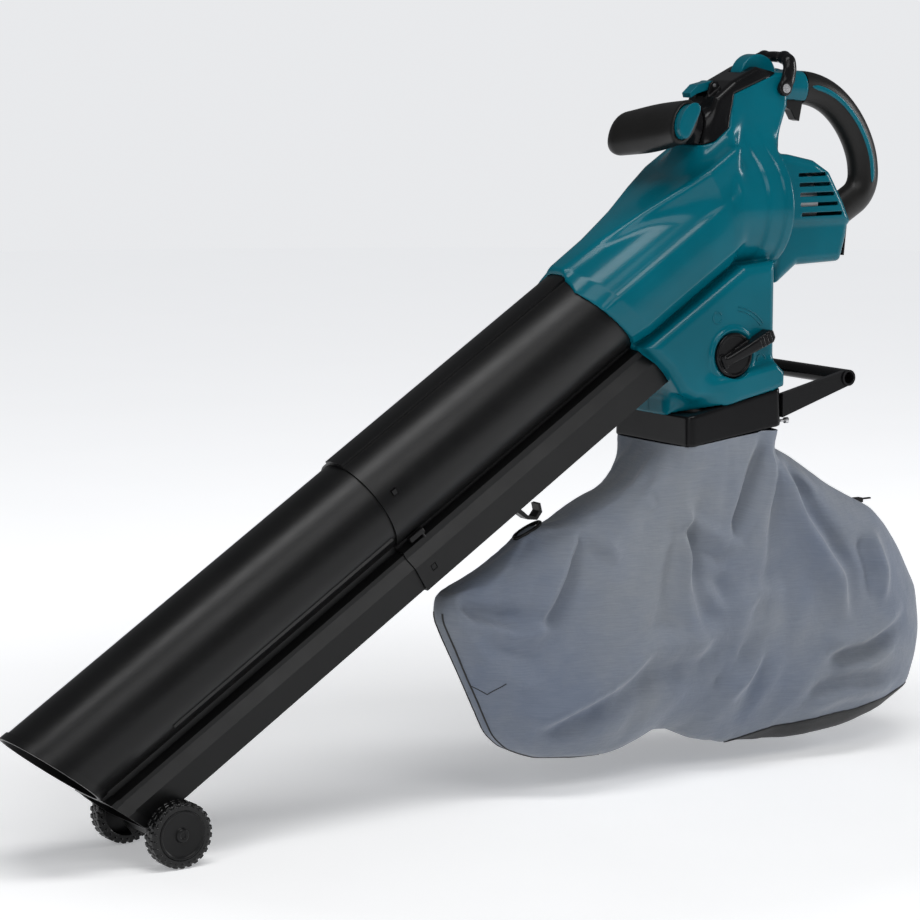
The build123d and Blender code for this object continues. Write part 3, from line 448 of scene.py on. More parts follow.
def body_field(x, y, z):
    """Outside of the whole moulded body, neck and handle root included."""
    fan = join_soft(disc(x, y, z, BAND_R, -112, -30, 11), disc(x, y, z, REAR_BAND_R - 2, -62, -20, 5), 3)
    fan = join_soft(fan, disc(x, y, z, REAR_BAND_R, -36, -20, 3), 2)
    field = join_soft(duct_field(x, y, z), fan, 7)
    field = join_soft(field, prism(polygon(x, z, BLOCK_OUTLINE), y, BLOCK_HALF, 12), 5)
    skirt = prism(polygon(x, z, SKIRT_OUTLINE, 3), y, SKIRT_HALF, 7)
    skirt = cut_soft(skirt, skirt_corner(x, y), 12)
    field = join_soft(field, skirt, 12)
    field = join_soft(field, prism(polygon(x, z, NECK_OUTLINE), y, NECK_HALF, 9), 30)
    case = polygon(x, z, MOTOR_OUTLINE, 9)
    upper = prism(cut_soft(case, MOTOR_CREASE - z, 4), y, MOTOR_HALF, 12)
    motor = join_soft(upper, prism(case + 1.5, y, MOTOR_HALF - 3, 12), 3)
    return join_soft(field, motor, 6)


def handle_root(x, y, z):
    """The teal front part of the handle."""
    dx, dz = 58.0, -4.0
    along = np.clip((x * dx + (z - 3) * dz) / (dx * dx + dz * dz), 0, 1)
    off_x, off_z = x - dx * along, z - 3 - dz * along
    oval = np.sqrt((y / 18.5) ** 2 + (off_x ** 2 + off_z ** 2) / 22.5 ** 2)
    return np.maximum((oval - 1) * 19, x - 58)


def cast(field, low, high, step, *more):
    """Points in mm and faces of the surface of a field, on a grid between two corners."""
    x, y, z = (np.arange(a, b + step, step, dtype=np.float32) for a, b in zip(low, high))
    values = field(x[:, None, None], y[None, :, None], z[None, None, :], *more)
    band = 4 * step  # the field is kept this far from the surface
    grid = openvdb.FloatGrid(band)
    grid.copyFromArray(np.clip(values, -band, band).astype(np.float32))
    points, quads = grid.convertToQuads(0.0)
    return points * step + np.array(low), quads


def mould(name, body, slot, replaced, eased, *shape):
    """A finished piece with the surface of a field, in place of a CAD node. Its shape is cast's."""
    points, quads = cast(*shape)
    finish_piece(piece_from(name, points * MM, quads, eased), body, slot, replaced)


# ---- teal housing
HOUSING_LOW, HOUSING_HIGH, HOUSING_STEP = (-346.0, -92.8, -448.0), (118.0, 1.6, 38.0), 1.6


def housing_field(x, y, z, lever_side):
    """The teal shell, hollow, with its sockets and openings, and with the lever's well if asked."""
    body = body_field(x, y, z)
    station, height = along_tube(x, z)
    cover = polygon(x, z, COVER_OUTLINE)
    shell = join_soft(body, handle_root(x, y, z), 10)
    shell = np.maximum(shell, 0.3 - cover)
    round_socket = np.hypot(y, height) - SOCKET_R
    spine = np.maximum(np.hypot(y, height) - SOCKET_R - 3.5, np.maximum(np.abs(y) - 19.3, -height))
    flat_socket = channel(y, height, 3.1)
    socket = np.minimum(np.minimum(round_socket, spine), flat_socket)
    socket = np.maximum(socket, station - SOCKET_END)
    hollow = np.maximum(body + WALL, SOCKET_END + WALL - station)
    shell = np.maximum(shell, -np.minimum(socket, hollow))
    collar_well = prism(polygon(x, z, WELL_OUTLINE), y, 81, 2)
    collar_well = np.maximum(collar_well, skirt_corner(x, y) + 4)
    dial_slot = pin(x, y, z, DIAL, DIAL_R + 1, -13, 13)
    trigger_slot = prism(polygon(x, z, TRIGGER_OUTLINE), y, 10, 1)
    for gap in (collar_well, dial_slot, trigger_slot):
        shell = np.maximum(shell, -gap)
    if not lever_side:
        return shell
    shell = np.maximum(shell, -pin(x, y, z, LEVER_PIVOT, 8, -90, 0))
    knob_well = pin(x, y, z, LEVER_PIVOT, 31, -90, -BLOCK_HALF)
    ring = np.hypot(np.hypot(x - LEVER_PIVOT[0], z - LEVER_PIVOT[1]) - 34.2, (y + 76.5) * 0.75) - 3.2
    shell = np.minimum(shell, ring)
    return np.maximum(shell, -knob_well)


def box_object(name, edge, places):
    """An object of boxes with bevelled edges, each from its low and its high corner in mm."""
    bm = bmesh.new()
    for low, high in places:
        made = bmesh.ops.create_cube(bm, size=1.0)["verts"]
        for v in made:
            v.co = Vector([a + (b - a) * (c + 0.5) for a, b, c in zip(low, high, v.co)]) * MM
        edges = list({e for v in made for e in v.link_edges})
        bmesh.ops.bevel(bm, geom=edges, offset=edge * MM, segments=3, affect="EDGES", profile=0.5)
    return linked(name, mesh_of(name, bm))


def carve(obj, cutter):
    """Cuts one mesh out of another and removes the cutter."""
    cut_out = obj.modifiers.new("cut", "BOOLEAN")
    cut_out.operation = "DIFFERENCE"
    cut_out.solver = "EXACT"
    cut_out.object = cutter
    apply_modifiers(obj)
    bpy.data.objects.remove(cutter)


def apply_modifiers(obj):
    """Makes the shape after the modifiers the object's own mesh."""
    shown = obj.evaluated_get(bpy.context.evaluated_depsgraph_get())
    made = bpy.data.meshes.new_from_object(shown)
    obj.modifiers.clear()
    obj.data = made
    shade_smooth(made)


def slot_cutter(side):
    """The cooling slots of one side, each longer than the one above."""
    near, far = sorted((side * (MOTOR_HALF - 8), side * (MOTOR_HALF + 4)))
    tops = [SLOT_TOP - row * SLOT_PITCH for row in range(SLOTS)]
    return box_object("slot_cutter", 1.4, [
        ((15 + 1.5 * row, near, top - SLOT_HEIGHT), (64 + 7.0 * row, far, top))
        for row, top in enumerate(tops)])


def housing_half(name, mirrored):
    """One moulded half of the housing, on one side of Y = 0."""
    points, quads = cast(housing_field, HOUSING_LOW, HOUSING_HIGH, HOUSING_STEP, not mirrored)
    if mirrored:
        points = points * np.array((1, -1, 1))
        quads = quads[:, ::-1]
    shell = piece_from(name, points * MM, quads, eased=1)
    carve(shell, slot_cutter(1 if mirrored else -1))
    return shell


finish_piece(housing_half("housing_shell_left", False), "machine", "teal", "housing_left")
finish_piece(housing_half("housing_shell_right", True), "machine", "teal", "housing_right")

# ---- black cover of the neck
COVER_LOW, COVER_HIGH, COVER_STEP = (-164.0, -46.0, -104.0), (4.0, 46.0, 44.0), 1.25
GRIP_AXIS_Z, GRIP_BAR_X, ARM_R, ARM_RING_R, ARM_RING_FRONT = -50.0, -186.0, 17.0, 27.0, -150.0
LOCK_HINGE = (-100.0, 5.0)


def cover_field(x, y, z):
    """The cover: a shell over the front of the neck with the ring that holds the grip's arm."""
    body = body_field(x, y, z)
    region = polygon(x, z, COVER_OUTLINE)
    arm = np.hypot(y, z - GRIP_AXIS_Z)
    ring = np.maximum(arm - ARM_RING_R + 3, np.maximum(ARM_RING_FRONT + 3 - x, x + 108))
    outside = join_soft(body, ring - 3, 14)
    shell = np.maximum(cut_soft(outside, region, 1.6), -np.maximum(body + WALL, region - 4))
    shell = np.maximum(shell, -np.maximum(arm - ARM_R - 0.25, x + 100))
    for centre in (-12.0, 12.0):
        shell = np.minimum(shell, prism(polygon(x, z, EAR_OUTLINE, 2), y - centre, 2.4, 0.8))
    seam_x = -133.5 + (z + 70) * 0.24
    groove = np.maximum(np.abs(x - seam_x) - 0.9, -(body + 0.9))
    rise = np.maximum(seam_x + 1.2 - x, x - seam_x - 3.4)
    shell = np.minimum(np.maximum(shell, -groove), np.maximum(np.maximum(body - 0.7, rise), region))
    shell = np.maximum(shell, -pin(x, y, z, LOCK_HINGE, 2.6, -20, 20))
    return np.maximum(shell, -pin(x, y, z, DIAL, DIAL_R + 1, -13, 13))


mould("neck_cover_shell", "machine", "black_gloss", "neck_cover", 1,
      cover_field, COVER_LOW, COVER_HIGH, COVER_STEP)


# ---- stripe along the handle
HANDLE_START, HANDLE_ARCS = (58.0, -1.0), ((110, -36), (150, -28), (100, -22), (38, -60))
STRIPE_STEP, STRIPE_LOW = 3.0, -134  # spacing of its sections, and where it ends


def handle_line():
    """Points and headings along the middle of the rear handle, in its side view."""
    place, heading = np.array(HANDLE_START), math.atan2(-4, 58)
    line = [(place, heading)]
    for radius, turn in HANDLE_ARCS:
        centre = place + radius * np.array((math.sin(heading), -math.cos(heading)))
        steps = max(2, round(radius * math.radians(-turn) / STRIPE_STEP))
        for i in range(1, steps + 1):
            now = heading + math.radians(turn) * i / steps
            line.append((centre + radius * np.array((-math.sin(now), math.cos(now))), now))
        place, heading = line[-1]
    return line


STRIPE_HALF, STRIPE_SHIFT, STRIPE_FACE = 3.6, 2.0, 18.9
# its section: places across in half-widths, and heights over the handle's side in mm
STRIPE_RING = [(-1.0, -3.0), (-1.0, -0.5), (-0.86, 0.05), (-0.5, 0.42), (0.0, 0.55), (0.5, 0.42),
               (0.86, 0.05), (1.0, -0.5), (1.0, -3.0)]


def handle_stripe(name, side):
    """A teal inlay, crowned and pointed at its ends, along one side of the rear handle."""
    line = [(p, h) for p, h in handle_line()[2:] if p[1] > STRIPE_LOW]
    points, faces = [], []
    for i, (place, heading) in enumerate(line):
        taper = min(1.0, math.sqrt(max(0.02, min(i, len(line) - 1 - i) / 3.5)))
        out = np.array((-math.sin(heading), math.cos(heading)))
        for across, up in STRIPE_RING:
            spot = place + out * (STRIPE_SHIFT + across * STRIPE_HALF * taper)
            points.append((spot[0], side * (STRIPE_FACE + up), spot[1]))
    count = len(STRIPE_RING)
    for i in range(len(line) - 1):
        for j in range(count):
            a, b = i * count + j, i * count + (j + 1) % count
            quad = (a, b, b + count, a + count)
            faces.append(quad if side > 0 else quad[::-1])
    last = (len(line) - 1) * count
    ends = [list(range(count))[::-1], [last + j for j in range(count)]]
    faces += ends if side > 0 else [end[::-1] for end in ends]
    obj = piece_from(name, np.array(points) * MM, faces)
    return finish_piece(obj, "machine", "teal")


handle_stripe("handle_stripe_right", 1)
handle_stripe("handle_stripe_left", -1)

# ---- strap hanger
HANGER_PIVOT_R, HANGER_ARM_Y = 4.05, 36.6
HANGER_INSIDE, NECK_SIDE_TOP = 33.7, 22  # the arms stay outside the neck up to this height


def capsule(x, y, z, start, end, radius, flatten=1.0):
    """A round-ended bar between two points, thinner along Y by a factor."""
    a, b = np.array(start, float), np.array(end, float)
    a[1] *= flatten
    b[1] *= flatten
    dx, dy, dz = b - a
    px, py, pz = x - a[0], y * flatten - a[1], z - a[2]
    t = np.clip((px * dx + py * dy + pz * dz) / (dx * dx + dy * dy + dz * dz), 0, 1)
    return np.sqrt((px - dx * t) ** 2 + (py - dy * t) ** 2 + (pz - dz * t) ** 2) - radius


# path of the half at +Y, and for each run how much it is flattened along Y and its radius
HANGER_PATH = [(0, 38.0, 0), (6, 38.0, 13), (8.5, 37.6, 25), (10.5, 33, 35), (12, 22, 40), (12, 0, 41)]
HANGER_RUNS = [(2.0, 9.2), (1.95, 9.2), (1.5, 8.4), (1.15, 7.8), (1.0, 7.4)]


def hanger_field(x, y, z):
    """Two stout arms that round over into a bar across the neck."""
    y = np.abs(y)
    field = pin(x, y, z, (0, 0), 9.6, HANGER_ARM_Y - 2.9, HANGER_ARM_Y + 5.0) + 0.4
    for start, end, (flat, radius) in zip(HANGER_PATH, HANGER_PATH[1:], HANGER_RUNS):
        field = join_soft(field, capsule(x, y, z, start, end, radius, flat), 7)
    field = np.maximum(field, np.where(z > NECK_SIDE_TOP, -FAR, HANGER_INSIDE - y))
    screw_well = pin(x, y, z, (0, 0), 5.4, HANGER_ARM_Y + 3.2, 60)
    return np.maximum(field, -np.minimum(screw_well, pin(x, y, z, (0, 0), HANGER_PIVOT_R, 0, 60)))


mould("hanger_bail_moulded", "hanger", "black_gloss", "hanger_bail", 3,
      hanger_field, (-14, -46, -14), (26, 46, 52), 1.0)

# ---- front grip
GRIP_ROLL, GRIP_LEAN = math.radians(8.5), math.radians(29)
GRIP_HALF, GRIP_DEPTH, GRIP_HEIGHT = 72.0, 43.0, 68.0
GRIP_LOW, GRIP_HIGH = (-238.0, -88.0, -100.0), (-150.0, 96.0, 6.0)
CAP_HIGH, CAP_RECESS, CAP_FROM = (-150.0, -40.0, 6.0), 60, 46  # the cap starts inside its recess


def grip_coords(x, y, z):
    """Places in the leaning section of the bar, and along it towards the near end."""
    dx, dz = x - GRIP_BAR_X + 8 * (y / 80) ** 2, z - GRIP_AXIS_Z
    length, up = turned(-y, dz, GRIP_ROLL)
    return (*turned(dx, up, -GRIP_LEAN), length)


def grip_section(across, tall, slim):
    """Signed distance, nearly, to the oval section drawn in by an amount."""
    a, b = GRIP_DEPTH / 2 - slim, GRIP_HEIGHT / 2 - slim
    k = np.sqrt((across / a) ** 2 + (tall / b) ** 2)
    slope = np.sqrt((across / a ** 2) ** 2 + (tall / b ** 2) ** 2)
    return k * (k - 1) / np.maximum(slope, 1e-4)


def soft_grip_field(x, y, z):
    """Rubber bar: a dome at its far end, a lipped ring at its near end."""
    across, tall, length = grip_coords(x, y, z)
    swell = 1.6 * np.cos(length * math.pi / 90) - 1.2
    section = grip_section(across, tall, 0.0) - swell
    bar = prism(section, length + 6, GRIP_HALF + 8, np.where(length > 0, 6.0, 25.0))
    recess = np.where(length < CAP_RECESS, FAR, prism(cap_section(across, tall), length, 90, 1))
    bar = np.maximum(bar, -recess)
    hub = np.maximum(np.hypot(y, z - GRIP_AXIS_Z) - 24.5, GRIP_BAR_X - x)
    return np.maximum(bar, -np.maximum(hub, GRIP_BAR_X + 14 - x))


def cap_section(across, tall):
    """The D of the end cap: the oval with its rear side cut straight."""
    return cut_soft(grip_section(across, 1.12 * tall, 6.0), across - 9, 5)


def cap_field(x, y, z):
    """Teal end cap, crowned a little."""
    across, tall, length = grip_coords(x, y, z)
    crown = GRIP_HALF + 3.6 - (across ** 2 + tall ** 2) / 500
    middle, half = (crown + 26 + CAP_FROM) / 2, (crown + 26 - CAP_FROM) / 2
    return prism(cap_section(across, tall) + 0.4, length - middle, half, 1.6)


mould("front_grip_rubber", "front_grip", "black_rubber", "front_grip", 2,
      soft_grip_field, GRIP_LOW, GRIP_HIGH, 1.5)
mould("grip_end_cap_left", "front_grip", "teal", "grip_cap_left", 0,
      cap_field, GRIP_LOW, CAP_HIGH, 1.0)

# ---- change-over lever
LEVER_LOW, LEVER_HIGH = (-148.0, -99.0, -382.0), (-48.0, -73.0, -312.0)
LEVER_LEAN = math.radians(24)
LEVER_BAR = [(-20, -6.5), (57, -9), (62, -4), (62, 7), (57, 9), (-20, 5)]
LEVER_FOOT = [(-24, -9), (-17, -9), (-17, 9), (-24, 9)]


def lever_field(x, y, z):
    """A dished disc with a ribbed bar that rises from a cross foot towards its end."""
    dx, dz = x - LEVER_PIVOT[0], z - LEVER_PIVOT[1]
    disc_part = prism(np.hypot(dx, dz) - 29.5, y + 79, 3.2, 1.2)
    dish = np.maximum(np.hypot(dx, dz) - 25.5, y + 81.2)
    along, over = turned(dx, dz, LEVER_LEAN)
    height = np.interp(along, [-24, -10, 20, 62], [86, 90, 94, 97])
    bar = cut_soft(np.maximum(polygon(along, over, LEVER_BAR, 2), y + 78), -height - y, 4)
    foot = prism(polygon(along, over, LEVER_FOOT, 1.5), y + 82, 5, 1)
    rib = np.maximum(np.abs((along - 36) % 6 - 3) - 0.9, np.maximum(36 - along, y + height - 1.3))
    shape = join_soft(np.maximum(disc_part, -dish), np.minimum(bar, foot), 2)
    return np.maximum(shape, -rib)


mould("change_lever_moulded", "change_lever", "black_gloss", "change_lever", 1,
      lever_field, LEVER_LOW, LEVER_HIGH, 0.8)

# ---- wheels
WHEEL_X, WHEEL_Z, WHEEL_Y = -949.9, -877.5, 71.0
TREAD, TREAD_R, TYRE_HALF = 26, 41.2, 11.0  # lugs in a row, their radius, half the width
WALL_R, WALL_HALF, BORE_R = 33.5, 6.6, 30.4  # middle and half height of the wall, and the bore
LUGS = ((0.0, 4.2, 10.6), (0.5, -10.6, -4.2), (0.25, -2.6, 2.6))  # offset in pitches, from Y to Y
# outside and inside of the hub: radii, and their places along the axle
HUB_FACE = ([0, 7.0, 8.0, 9.4, 27, 27.6, 28.2, 30], [12.8, 12.8, 12.2, 9.0, 10.4, 11.4, 11.8, 11.6])
HUB_BACK = ([0, 10, 11, 30], [-10.4, -10.4, 2, 4])


def tyre_field(x, y, z):
    """A tyre with rounded shoulders, lugs along both edges and small knobs on its walls."""
    radius, turn = np.hypot(x, z), np.arctan2(z, x)
    field = rounded(np.abs(radius - WALL_R) - WALL_HALF, np.abs(y) - TYRE_HALF, 4)
    step = 2 * math.pi / TREAD
    for first, y_from, y_to in LUGS:
        off = ((turn / step + first) % 1 - 0.5) * step * radius
        lug = np.maximum(np.abs(off) - 3.0, np.maximum(y_from - y, y - y_to))
        field = np.minimum(field, np.maximum(lug, np.abs(radius - 37) - TREAD_R + 37))
    off = ((turn / step) % 1 - 0.5) * step * radius
    knob = np.sqrt(off ** 2 + (radius - 36.3) ** 2 + (np.abs(y) - TYRE_HALF + 0.4) ** 2) - 1.9
    return np.maximum(np.minimum(field, knob), BORE_R - radius)


def hub_field(x, y, z):
    """A dished disc with a rim, a boss with a blind hole, and a bore for the axle. Its outside is +Y."""
    radius = np.hypot(x, z)
    face, back = np.interp(radius, *HUB_FACE), np.interp(radius, *HUB_BACK)
    field = np.maximum(radius - 30.6, np.maximum(y - face, back - y))
    field = np.maximum(field, -np.maximum(radius - 3.8, 11.4 - y))
    return np.maximum(field, -np.maximum(radius - 5.2, y - 9.8))


for name, side in (("left", -1), ("right", 1)):
    for part, field, low, slot in (("tyre", tyre_field, (-43, -13, -43), "tyre_black"),
                                   ("hub", hub_field, (-32, -14, -32), "black_satin")):
        points, quads = cast(field, low, [-c for c in low], 0.8)
        points = points * (1, side, 1) + (WHEEL_X, side * WHEEL_Y, WHEEL_Z)
        quads = quads[:, ::-1] if side < 0 else quads
        piece = piece_from(f"wheel_{part}_{name}_moulded", points * MM, quads)
        finish_piece(piece, "wheel_" + name, slot, f"wheel_{part}_{name}")

# ---- battery terminal
terminal_low, terminal_high = (Vector(corner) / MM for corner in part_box("battery_terminal"))
block = box_object("battery_terminal_block", 0.8, [(terminal_low, terminal_high - Vector((2.6, 0, 0)))])
finish_piece(block, "machine", "black_satin", "battery_terminal")
blades = box_object("battery_terminal_blades", 0.25, [
    ((terminal_low.x + 2, y - 0.8, terminal_low.z + 4), (terminal_high.x, y + 0.8, terminal_high.z - 4))
    for y in (-12, -5, 5, 12)])
finish_piece(blades, "machine", "terminal_brass")

# ---- dust bag
BAG_OUTLINE = [(-188, -430), (-188, -466), (-216, -492), (-262, -513), (-338, -546), (-393, -568),
               (-450, -595), (-508, -618), (-531, -638), (-536, -662), (-503, -718), (-473, -772),
               (-448, -822), (-424, -842), (-388, -856), (-330, -864), (-268, -866), (-226, -853),
               (-198, -841), (-160, -847), (-119, -867), (-55, -886), (60, -895), (140, -890),
               (205, -872), (264, -842), (281, -800), (287, -755), (279, -698), (243, -636),
               (214, -598), (186, -573), (149, -556), (100, -530), (40, -490), (-18, -462),
               (-35, -447), (-35, -420)]
BAG_LOW, BAG_HIGH, BAG_STEP = (-560.0, -104.0, -904.0), (312.0, 104.0, -424.0), 8.0
BAG_HALF, BAG_GUSSET, CLOTH = 84.0, 9.0, 1.2
COLLAR_LOW, COLLAR_HIGH = (-190, -465.6), (-33, -446.6)  # lower rim of the collar
COLLAR_X, COLLAR_HALF_X, COLLAR_HALF_Y = -111.5, 78.5, 85  # its middle and half-sizes
NECK_HALF_X, NECK_HALF_Y = 80.5, 86.5  # the bag's neck fits round it
HOOK_POINT, BAG_TIP = (-393, -566), (-533, -655)
FOLD_GAIN, FOLD_MOST = 2.7, 21.0  # on the heights below, and its limit
# folds of each panel: points, width, height, and the side on which the hollow lies
NEAR_FOLDS = [
    ([(-268, -474), (-301, -506), (-337, -541), (-367, -584), (-402, -645), (-436, -717)], 13, 13, 1),
    ([(-262, -480), (-246, -510), (-233, -540)], 9, 9, 1),
    ([(-36, -462), (-46, -513), (-70, -560), (-92, -588), (-120, -598)], 12, 12, -1),
    ([(-26, -478), (15, -570), (55, -622), (85, -661), (94, -733)], 13, 12, 1),
    ([(-12, -470), (20, -508), (60, -541)], 10, 7, 1),
    ([(-197, -548), (-186, -599), (-189, -655)], 9, 7, 1),
    ([(-200, -546), (-143, -578), (-89, -600)], 9, 8, -1),
    ([(-425, -806), (-320, -756), (-247, -721), (-168, -718), (-70, -690)], 15, 12, -1),
    ([(-118, -800), (-76, -767), (-35, -738)], 12, 6, 1),
    ([(-535, -650), (-501, -672), (-427, -686), (-366, -680)], 10, 8, 1),
    ([(62, -757), (137, -746), (216, -712)], 12, 7, -1),
    ([(42, -842), (110, -829), (213, -829)], 11, 7, 1),
    ([(87, -792), (138, -785), (206, -757)], 9, 5, 1),
    ([(-342, -526), (-321, -557), (-300, -606)], 10, 7, -1),
    ([(-160, -640), (-120, -680), (-60, -660), (0, -676)], 13, 5, 1),
    ([(150, -600), (168, -660), (160, -710)], 12, 7, -1),
]
FAR_FOLDS = [
    ([(-250, -480), (-290, -540), (-350, -600), (-380, -680)], 14, 12, 1),
    ([(-40, -470), (-10, -560), (40, -640), (60, -740)], 14, 12, 1),
    ([(-150, -520), (-160, -600), (-210, -690), (-220, -760)], 13, 9, -1),
    ([(-440, -720), (-340, -760), (-200, -780), (-90, -760)], 15, 11, -1),
    ([(70, -800), (140, -760), (220, -740)], 12, 8, 1),
    ([(-90, -560), (-60, -640), (-80, -700)], 11, 7, 1),
]
# direction in X and Z, length in mm, phase and height in mm of each set of small creases
WRINKLES = ((0.92, -0.38, 31, 0.4, 2.6), (0.55, 0.83, 44, 2.1, 2.2), (-0.70, 0.72, 27, 4.0, 1.5))


def below_collar(x, z):
    """How far a point lies under the rim of the collar."""
    lean = (COLLAR_HIGH[1] - COLLAR_LOW[1]) / (COLLAR_HIGH[0] - COLLAR_LOW[0])
    return COLLAR_LOW[1] + (x - COLLAR_LOW[0]) * lean - z


def collar_field(x, y, z):
    """The outlet collar: rounded corners, slanted rims and a deck with the opening of the duct."""
    out = np.clip(-below_collar(x, z) / 50, 0, 1)
    plan = rounded(np.abs(x - COLLAR_X) - COLLAR_HALF_X + out, np.abs(y) - COLLAR_HALF_Y + 1.5 * out, 10)
    top = z + 425 - (x + 190) * 0.188
    outside = cut_soft(cut_soft(plan, top, 2.5), below_collar(x, z), 2)
    duct = prism(np.abs(x - COLLAR_X) - 62, y, 66, 4)
    return np.maximum(np.maximum(outside, -np.maximum(plan + 3, top + 3)), -duct)


def bag_field(x, y, z):
    """Two side panels that bulge from the seams, square where they meet the collar."""
    depth = -polygon(x, z, BAG_OUTLINE)
    reach = np.interp(below_collar(x, z), [0, 50, 230], [12, 60, 130])
    swell = np.clip(depth / reach, 0, 1)
    full = np.interp(x, [-540, -430, -300, 180, 290], [34, 60, BAG_HALF, BAG_HALF, 62])
    half = BAG_GUSSET + (full - BAG_GUSSET) * np.sqrt(np.clip(1 - (1 - swell) ** 2, 0, 1))
    return np.maximum(np.abs(y) - half, -depth)


def fold_height(x, z, folds):
    """Ridges with a hollow along one side, added up over a list of folds."""
    total = np.zeros(len(x))
    for points, width, height, hollow in folds:
        lengths = [math.dist(a, b) for a, b in zip(points, points[1:])]
        done, whole = 0.0, sum(lengths)
        near = np.full(len(x), 1e9)
        side, place = np.zeros(len(x)), np.zeros(len(x))
        for (x0, z0), (x1, z1), length in zip(points, points[1:], lengths):
            ex, ez = (x1 - x0) / length, (z1 - z0) / length
            t = np.clip((x - x0) * ex + (z - z0) * ez, 0, length)
            off = np.hypot(x - x0 - t * ex, z - z0 - t * ez)
            closer = off < near
            cross = ex * (z - z0) - ez * (x - x0)
            side = np.where(closer, np.sign(cross) * off, side)
            place = np.where(closer, (done + t) / whole, place)
            near = np.where(closer, off, near)
            done += length
        ends = np.clip(np.minimum(place / 0.12, (1 - place) / 0.35), 0, 1)
        u = side * hollow
        ridge = np.exp(-(u / width) ** 2) - 0.65 * np.exp(-((u - 1.7 * width) / (1.2 * width)) ** 2)
        total += FOLD_GAIN * height * ends * ridge
    return total


def wrinkles(x, z):
    """Small irregular creases all over the panels."""
    total = np.zeros(len(x))
    for across, down, length, start, height in WRINKLES:
        phase = (across * x + down * z) / length + start
        phase = phase + 1.5 * np.sin(x / 71 + start) + 1.3 * np.sin(z / 53 - 2 * start)
        patch = np.clip(0.5 + 0.7 * np.sin(x / 83 + 3 * start) * np.sin(z / 67 + start), 0, 1)
        total += height * patch * (1 - 2 * np.abs(np.sin(phase)))
    return total


def bag_mesh():
    """The sewn bag before it hangs, open at the collar, as a bmesh in mm."""
    points, quads = cast(bag_field, BAG_LOW, BAG_HIGH, BAG_STEP)
    bm = bmesh.new()
    verts = [bm.verts.new(p) for p in points]
    for quad in quads:
        bm.faces.new([verts[i] for i in quad])
    ease(bm, 3)
    rim = Vector((COLLAR_HIGH[0] - COLLAR_LOW[0], 0, COLLAR_HIGH[1] - COLLAR_LOW[1]))
    bmesh.ops.bisect_plane(bm, geom=bm.verts[:] + bm.edges[:] + bm.faces[:], dist=1e-4,
                           plane_co=(COLLAR_LOW[0], 0, COLLAR_LOW[1]), plane_no=(-rim.z, 0, rim.x),
                           clear_outer=True)
    return bm


mould("outlet_collar_moulded", "machine", SLOT_OF["outlet_collar"], "outlet_collar", 0,
      collar_field, (-194.0, -88.0, -470.0), (-28.0, 88.0, -392.0), 1.6)

bm = bag_mesh()
flat_places = np.array([v.co[:] for v in bm.verts])
flat_x, flat_y, flat_z = flat_places.T
under_rim = below_collar(flat_x, flat_z)
depth_in = np.clip(-polygon(flat_x, flat_z, BAG_OUTLINE) / 40, 0, 1)
near_side, far_side = np.clip(-flat_y / 30, 0, 1), np.clip(flat_y / 30, 0, 1)
settle = np.clip(under_rim / 30, 0, 1)
rise = (fold_height(flat_x, flat_z, NEAR_FOLDS) * near_side
        - fold_height(flat_x, flat_z, FAR_FOLDS) * far_side)
rise = FOLD_MOST * np.tanh(rise / FOLD_MOST) + wrinkles(flat_x, flat_z)
bag_places = flat_places.copy()
bag_places[:, 1] -= rise * settle * (0.15 + 0.85 * depth_in)
# the neck fits round the rim of the collar, corners and all
u, v = (bag_places[:, 0] - COLLAR_X) / NECK_HALF_X, bag_places[:, 1] / NECK_HALF_Y
square = np.maximum((np.abs(u) ** 9 + np.abs(v) ** 9) ** (1 / 9), 1e-3)
fit = np.clip(1 - under_rim / 42, 0, 1)
fit = fit * fit * (3 - 2 * fit)
bag_places[:, 0] += fit * (NECK_HALF_X * u / square + COLLAR_X - bag_places[:, 0])
bag_places[:, 1] += fit * (NECK_HALF_Y * v / square - bag_places[:, 1])
bag_data = mesh_of("dust_bag_cloth", bm)
bag_data.vertices.foreach_set("co", (bag_places * MM).astype(np.float32).ravel())
cut = bag_data.attributes.new("cut", "FLOAT_VECTOR", "POINT")
cut.data.foreach_set("vector", (flat_places * MM).astype(np.float32).ravel())
bag_data.update()
bag_cloth = linked("dust_bag_cloth", bag_data)

CLOTH_SETTINGS = {"quality": 6, "mass": 0.25, "tension_stiffness": 25, "compression_stiffness": 18,
                  "shear_stiffness": 8, "bending_stiffness": 0.6, "shrink_min": -0.035,
                  "use_pressure": True, "uniform_pressure_force": 0.4, "vertex_group_mass": "held"}
HANG_FRAMES, HANG_REACH = 22, 0.014  # frames of the simulation, and how far a point may go (m)
RIM_GRIP, HOOK_GRIP, TIP_GRIP = 14, 14, 26  # how near to each of these the cloth is held (mm)


